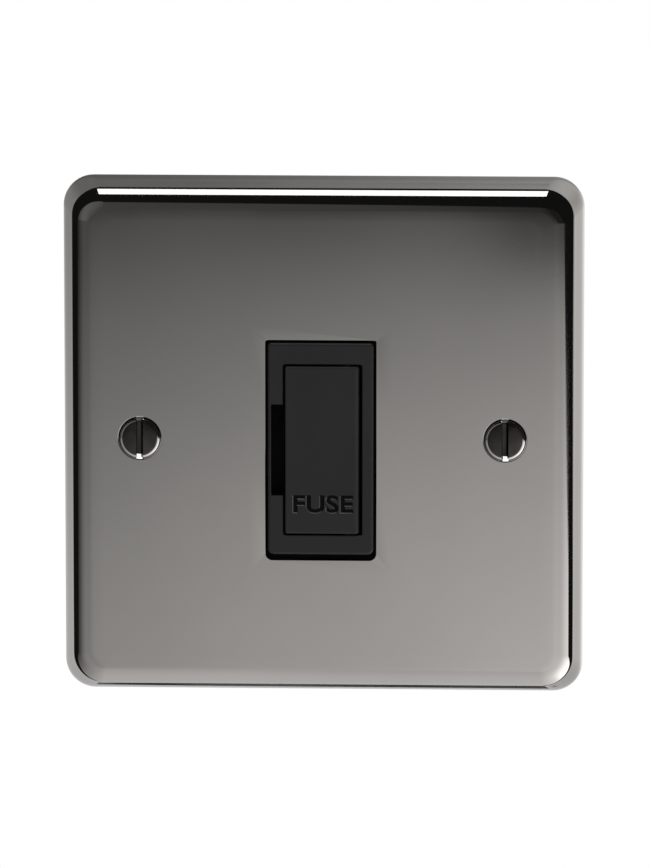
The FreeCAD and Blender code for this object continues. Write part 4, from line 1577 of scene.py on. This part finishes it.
@dataclass
class Tent:
    """The round tent that polished metal mirrors: dark above the front, pale below, grey behind.

    A direction's turn is its angle from the front, in degrees. Its rise and its right are how
    far it points up and to the right, as shares of how far it is off the front's axis. A black
    edge lies between the near turn, where the front's light ends, and the far turn, where the
    grey behind starts.

    Attributes:
        radius: Its radius, in metres.
        front_levels: The front's light, by height.
        side_turn: The turns between which the light's sideways drift changes its measure.
        side_across, side_right: The drift's span near the front, and farther round.
        side_gain: What the drift multiplies the light by at the left and at the right.
        shade_up, shade_across: Where the shade at the right corner sets in.
        corner_shade: How much of the light the shade takes.
        upper_levels, upper_up: The light above the front, across, and where it sets in.
        glow_way: The shares of right and of down in the way to the lower right.
        glow_levels, glow_turn: The light's gain along that way, and where it sets in.
        flare, flare_side, flare_turn: The extra light at its end, and where it sets in.
        near_left, near_right: The near turn on either side, by rise.
        near_rise: Where the near turn goes over sharply, below, and softly, above.
        near_soft, far_soft: How softly the light ends and the grey starts, in degrees.
        far_left, far_right: The far turn on either side, by rise.
        right_share, end_share: Where the left goes over into the right, softly and sharply.
        black: The light left in the black edge.
        back_left, back_right: The grey behind on the left, by rise, and the right, by turn.
        back_lower, lower_rise: The grey behind, below, and where it sets in.
        back_top, back_gain, top_rise: The grey behind, above, across and by turn.
    """

    radius: float = 2.5
    front_levels: Pairs = (
        (-1.0, 0.95), (-0.6, 0.86), (-0.3, 0.79), (-0.202, 0.745), (-0.18, 0.655),
        (-0.157, 0.535), (-0.133, 0.385), (-0.121, 0.28), (-0.112, 0.17), (-0.1, 0.1),
        (-0.08, 0.0),
    )
    side_turn: Pair = (14.0, 34.0)
    side_across: Pair = (-0.16, 0.07)
    side_right: Pair = (-0.8, 0.8)
    side_gain: Pair = (0.6, 1.4)
    shade_up: Pair = (-0.13, -0.112)
    shade_across: Pair = (-0.022, 0.0)
    corner_shade: float = 0.6
    upper_levels: Pairs = (
        (-0.7, 0.24), (-0.35, 0.2), (-0.12, 0.16), (-0.085, 0.1), (-0.03, 0.09), (0.0, 0.05),
        (0.05, 0.022), (0.7, 0.03),
    )
    upper_up: Pair = (-0.135, -0.085)
    glow_way: Pair = (0.8, 0.6)
    glow_levels: Pairs = (
        (-1.0, 0.1), (-0.7, 0.15), (-0.3, 0.5), (0.0, 0.88), (0.3, 1.0), (0.6, 1.02),
        (0.78, 1.15), (0.86, 1.3), (1.0, 1.6),
    )
    glow_turn: Pair = (36.0, 86.0)
    flare: float = 0.95
    flare_side: Pair = (0.86, 1.0)
    flare_turn: Pair = (44.0, 106.0)
    near_left: Pairs = (
        (-1.0, 145.2), (-0.991, 144.8), (-0.98, 140.0), (-0.965, 132.0), (-0.94, 121.0),
        (-0.83, 110.0), (-0.66, 101.0), (-0.44, 94.0), (-0.24, 88.0), (-0.18, 82.0),
        (-0.141, 80.0), (-0.1, 74.0), (0.3, 60.0), (0.7, 45.0), (1.0, 29.0),
    )
    near_right: Pairs = (
        (-1.0, 134.5), (-0.996, 133.5), (-0.985, 131.0), (-0.965, 128.0), (-0.94, 124.0),
        (-0.83, 115.0), (-0.66, 111.0), (-0.44, 104.0), (-0.24, 92.0), (-0.18, 86.0),
        (-0.16, 60.0), (-0.15, 53.0), (-0.12, 42.0), (0.3, 32.0), (0.7, 15.0), (1.0, 2.0),
    )
    near_rise: Pair = (-0.3, 0.0)
    near_soft: Pair = (-3.0, 0.0)
    far_left: Pairs = (
        (-1.0, 145.9), (-0.991, 145.5), (-0.98, 142.0), (-0.965, 136.0), (-0.94, 128.0),
        (-0.83, 123.0), (-0.66, 121.5), (-0.44, 124.0), (-0.24, 129.0), (-0.16, 125.0),
        (0.0, 124.0), (0.26, 121.0), (0.5, 116.0), (0.707, 110.5), (0.866, 112.5),
        (0.966, 119.0), (0.985, 124.0), (0.995, 126.1), (1.0, 126.3),
    )
    far_right: Pairs = (
        (-1.0, 140.8), (-0.996, 139.2), (-0.985, 136.4), (-0.965, 133.0), (-0.94, 129.5),
        (-0.83, 124.5), (-0.66, 123.5), (-0.44, 125.0), (-0.237, 128.5), (-0.148, 113.0),
        (0.26, 113.0), (0.5, 111.5), (0.707, 108.5), (0.866, 110.5), (0.966, 116.5),
        (0.985, 119.3), (0.996, 122.3), (1.0, 125.0),
    )
    far_soft: Pair = (0.0, 0.6)
    right_share: Pair = (-0.3, 0.1)
    end_share: Pair = (0.016, 0.021)
    black: float = 0.012
    back_left: Pairs = ((-0.3, 0.75), (-0.16, 0.42), (0.5, 0.4))
    back_right: Pairs = ((118.0, 0.6), (134.0, 0.9), (144.0, 1.35))
    back_lower: float = 0.72
    lower_rise: Pair = (-0.8, -0.4)
    back_top: Pairs = (
        (-0.092, 0.2), (-0.068, 0.225), (-0.017, 0.357), (0.006, 0.42), (0.15, 0.48), (0.4, 0.56),
    )
    back_gain: Pairs = ((127.0, 1.35), (131.5, 1.0), (180.0, 1.0))
    top_rise: Pair = (0.3, 0.75)

    def __post_init__(self) -> None:
        """Starts the material, and works out where each point lies, seen from the unit."""
        self.material, self.sheet = Sheet.material("light tent")
        sheet = self.sheet
        unit = sheet.add("VectorMath", {"operation": "NORMALIZE"})
        sheet.feed(unit.inputs[0], sheet.place())
        split = sheet.add("SeparateXYZ", None, Vector=unit.outputs[0]).outputs
        self.across, deep, self.up = split["X"], split["Y"], split["Z"]
        spread = sheet.sum("SQRT", sheet.less(1.0001, sheet.times(deep, deep)))
        angle = sheet.sum("ARCCOSINE", sheet.times(deep, -1.0))
        self.turn = sheet.sum("DIVIDE", angle, math.radians(1.0))
        self.rise = sheet.sum("DIVIDE", self.up, spread)
        self.right = sheet.sum("DIVIDE", self.across, spread)

    def face_light(self) -> Socket:
        """The light in front: its levels by height, its drift sideways and its shaded corner."""
        sheet = self.sheet
        drift = sheet.join(
            sheet.steer(self.turn, self.side_turn),
            sheet.steer(self.across, self.side_across, self.side_gain),
            sheet.steer(self.right, self.side_right, self.side_gain),
        )
        light = sheet.times(sheet.curve(self.up, self.front_levels), drift)
        shade = sheet.times(
            sheet.steer(self.up, self.shade_up, (0.0, self.corner_shade)),
            sheet.steer(self.across, self.shade_across),
        )
        light = sheet.times(light, sheet.less(1.0, shade))
        upper = sheet.times(
            sheet.curve(self.across, self.upper_levels), sheet.steer(self.up, self.upper_up)
        )
        return sheet.sum("MAXIMUM", light, upper)

    def front(self) -> Socket:
        """The light in front with its glow and flare at the lower right."""
        sheet = self.sheet
        share_right, share_down = self.glow_way
        low_right = sheet.less(
            sheet.times(self.right, share_right), sheet.times(self.rise, share_down)
        )
        gain = sheet.join(
            sheet.steer(self.turn, self.glow_turn), 1.0, sheet.curve(low_right, self.glow_levels)
        )
        flare = sheet.times(
            sheet.steer(low_right, self.flare_side, (0.0, self.flare)),
            sheet.steer(self.turn, self.flare_turn),
        )
        return sheet.sum("ADD", sheet.times(self.face_light(), gain), flare)

    def back(self, rightness: Socket) -> Socket:
        """The grey behind, from its left over into its right, its lower and its upper part."""
        sheet = self.sheet
        sides = sheet.join(
            rightness,
            sheet.curve(self.rise, self.back_left),
            sheet.curve(self.turn, self.back_right),
        )
        lower = sheet.steer(self.rise, self.lower_rise, (1.0, 0.0))
        sides = sheet.join(lower, sides, self.back_lower)
        top = sheet.times(
            sheet.curve(self.across, self.back_top), sheet.curve(self.turn, self.back_gain)
        )
        return sheet.join(sheet.steer(self.rise, self.top_rise), sides, top)

    def strength(self) -> Socket:
        """The whole tent's light, with the black edge between its front and its back."""
        sheet = self.sheet
        rightness = sheet.steer(self.right, self.right_share)
        ends = sheet.steer(self.right, self.end_share)
        low = sheet.steer(self.rise, self.near_rise, (1.0, 0.0))
        near_left, near_right, far_left, far_right = (
            sheet.curve(self.rise, points)
            for points in (self.near_left, self.near_right, self.far_left, self.far_right)
        )
        near = sheet.join(sheet.join(low, rightness, ends), near_left, near_right)
        far = sheet.join(ends, far_left, far_right)
        lit = sheet.steer(sheet.less(self.turn, near), self.near_soft, (1.0, 0.0))
        behind = sheet.steer(sheet.less(self.turn, far), self.far_soft)
        front = sheet.sum("MAXIMUM", sheet.times(self.front(), lit), self.black)
        return sheet.join(behind, front, self.back(rightness))

    def build(self) -> None:
        """Makes the tent."""
        Bench.clear()
        bpy.ops.mesh.primitive_uv_sphere_add(segments=48, ring_count=24, radius=self.radius)
        Stage.glow(Stage.plain("light_tent"), self.material, self.sheet, self.strength())


@dataclass
class Studio:
    """The camera, the pale floor, the soft light and the card above."""

    elevation: float = 9.0
    azimuth: float = 2.5
    distance: float = 1.2
    lens: float = 300.2
    sensor: float = 36.0
    clip: Pair = (0.05, 50.0)
    aim: Point = (0.17, 0.0, -0.15)
    world_light: float = 0.6
    floor_z: float = -0.9
    floor_size: float = 12.0
    floor_tone: float = 0.85
    card_elevation: float = 86.4
    card_distance: float = 1.6
    card_size: Pair = (0.62, 1.06)
    card_shift: float = -0.08
    card_strength: float = 2.8

    def camera(self) -> None:
        """Sets the camera at the photograph's angle."""
        way = toward(self.elevation, self.azimuth)
        camera = bpy.data.cameras.new("camera")
        camera.lens, camera.sensor_width = self.lens, self.sensor
        camera.clip_start, camera.clip_end = self.clip
        holder = bpy.data.objects.new("camera", camera)
        holder.location = Vector(self.aim) * MM + way * self.distance
        holder.rotation_euler = (-way).to_track_quat("-Z", "Y").to_euler()
        bpy.context.scene.collection.objects.link(holder)
        bpy.context.scene.camera = holder

    def world(self) -> None:
        """A plain soft world that lights evenly, and is white where it is seen or mirrored."""
        world = bpy.data.worlds.new("soft_world")
        world.use_nodes = True
        bpy.context.scene.world = world
        sheet = Sheet(world.node_tree)
        strength = sheet.steer(sheet.looked_at(), (0.0, 1.0), (self.world_light, 1.0))
        light = sheet.add("Background", None, Color=(1.0, 1.0, 1.0, 1.0), Strength=strength)
        sheet.add("OutputWorld", None, Surface=light.outputs["Background"])

    def lamp(self, name: str, place: Point, size: float, power: float) -> None:
        """A soft square lamp that faces the unit."""
        lamp = bpy.data.lights.new(name, "AREA")
        lamp.size, lamp.energy = size, power
        holder = bpy.data.objects.new(name, lamp)
        holder.location = place
        holder.rotation_euler = Vector(place).to_track_quat("Z", "Y").to_euler()
        holder.visible_glossy = False
        bpy.context.scene.collection.objects.link(holder)

    def floor(self) -> None:
        """A plain pale floor, well below the unit, white where it is seen."""
        Bench.clear()
        bpy.ops.mesh.primitive_plane_add(size=self.floor_size, location=(0, 0, self.floor_z))
        floor = Stage.plain("pale_floor")
        material, sheet = Sheet.material("pale floor")
        tone = self.floor_tone
        matte = sheet.add("BsdfDiffuse", None, Color=(tone, tone, tone, 1.0))
        white = sheet.add("Emission", None, Color=(1.0, 1.0, 1.0, 1.0), Strength=1.0)
        mix = sheet.add("MixShader")
        parts = (sheet.looked_at(), matte.outputs[0], white.outputs[0])
        for socket, part in zip(mix.inputs, parts):
            sheet.feed(socket, part)
        sheet.add("OutputMaterial", None, Surface=mix.outputs[0])
        floor.data.materials.append(material)
        floor.visible_glossy = False

    def card(self) -> None:
        """The softbox above, seen in reflections alone."""
        way = toward(self.card_elevation, 0.0)
        Bench.clear()
        bpy.ops.mesh.primitive_plane_add(size=1)
        card = Stage.plain("overhead_softbox")
        card.scale = (*self.card_size, 1)
        card.rotation_euler = (-way).to_track_quat("Z", "Y").to_euler()
        card.location = way * self.card_distance + Vector((self.card_shift, 0, 0))
        Stage.glow(card, *Sheet.material("overhead_softbox"), self.card_strength)

    def build(self) -> None:
        """Sets up the whole studio."""
        bpy.context.scene.view_settings.view_transform = "Standard"
        self.camera()
        self.world()
        self.floor()
        Tent().build()
        self.lamp("key_lamp", (0.8, -1.1, 1.0), 0.7, 9.0)
        self.lamp("fill_lamp", (-1.2, -0.9, 0.5), 0.9, 3.0)
        self.card()


def main() -> None:
    """Builds the studio and every piece, in order."""
    logging.basicConfig(level=logging.INFO, format="%(name)s: %(message)s")
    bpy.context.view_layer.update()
    for thing in (
        Studio(),
        FrontPlate(),
        FixingScrews(),
        FrontMoulding(),
        FuseCarrier(),
        CartridgeFuse(),
        TerminalHousing(),
        TerminalScrews(),
        AssemblyScrews(),
        BrassWork(),
    ):
        log.info("building %s", type(thing).__name__)
        thing.build()


if __name__ == "__main__":
    main()
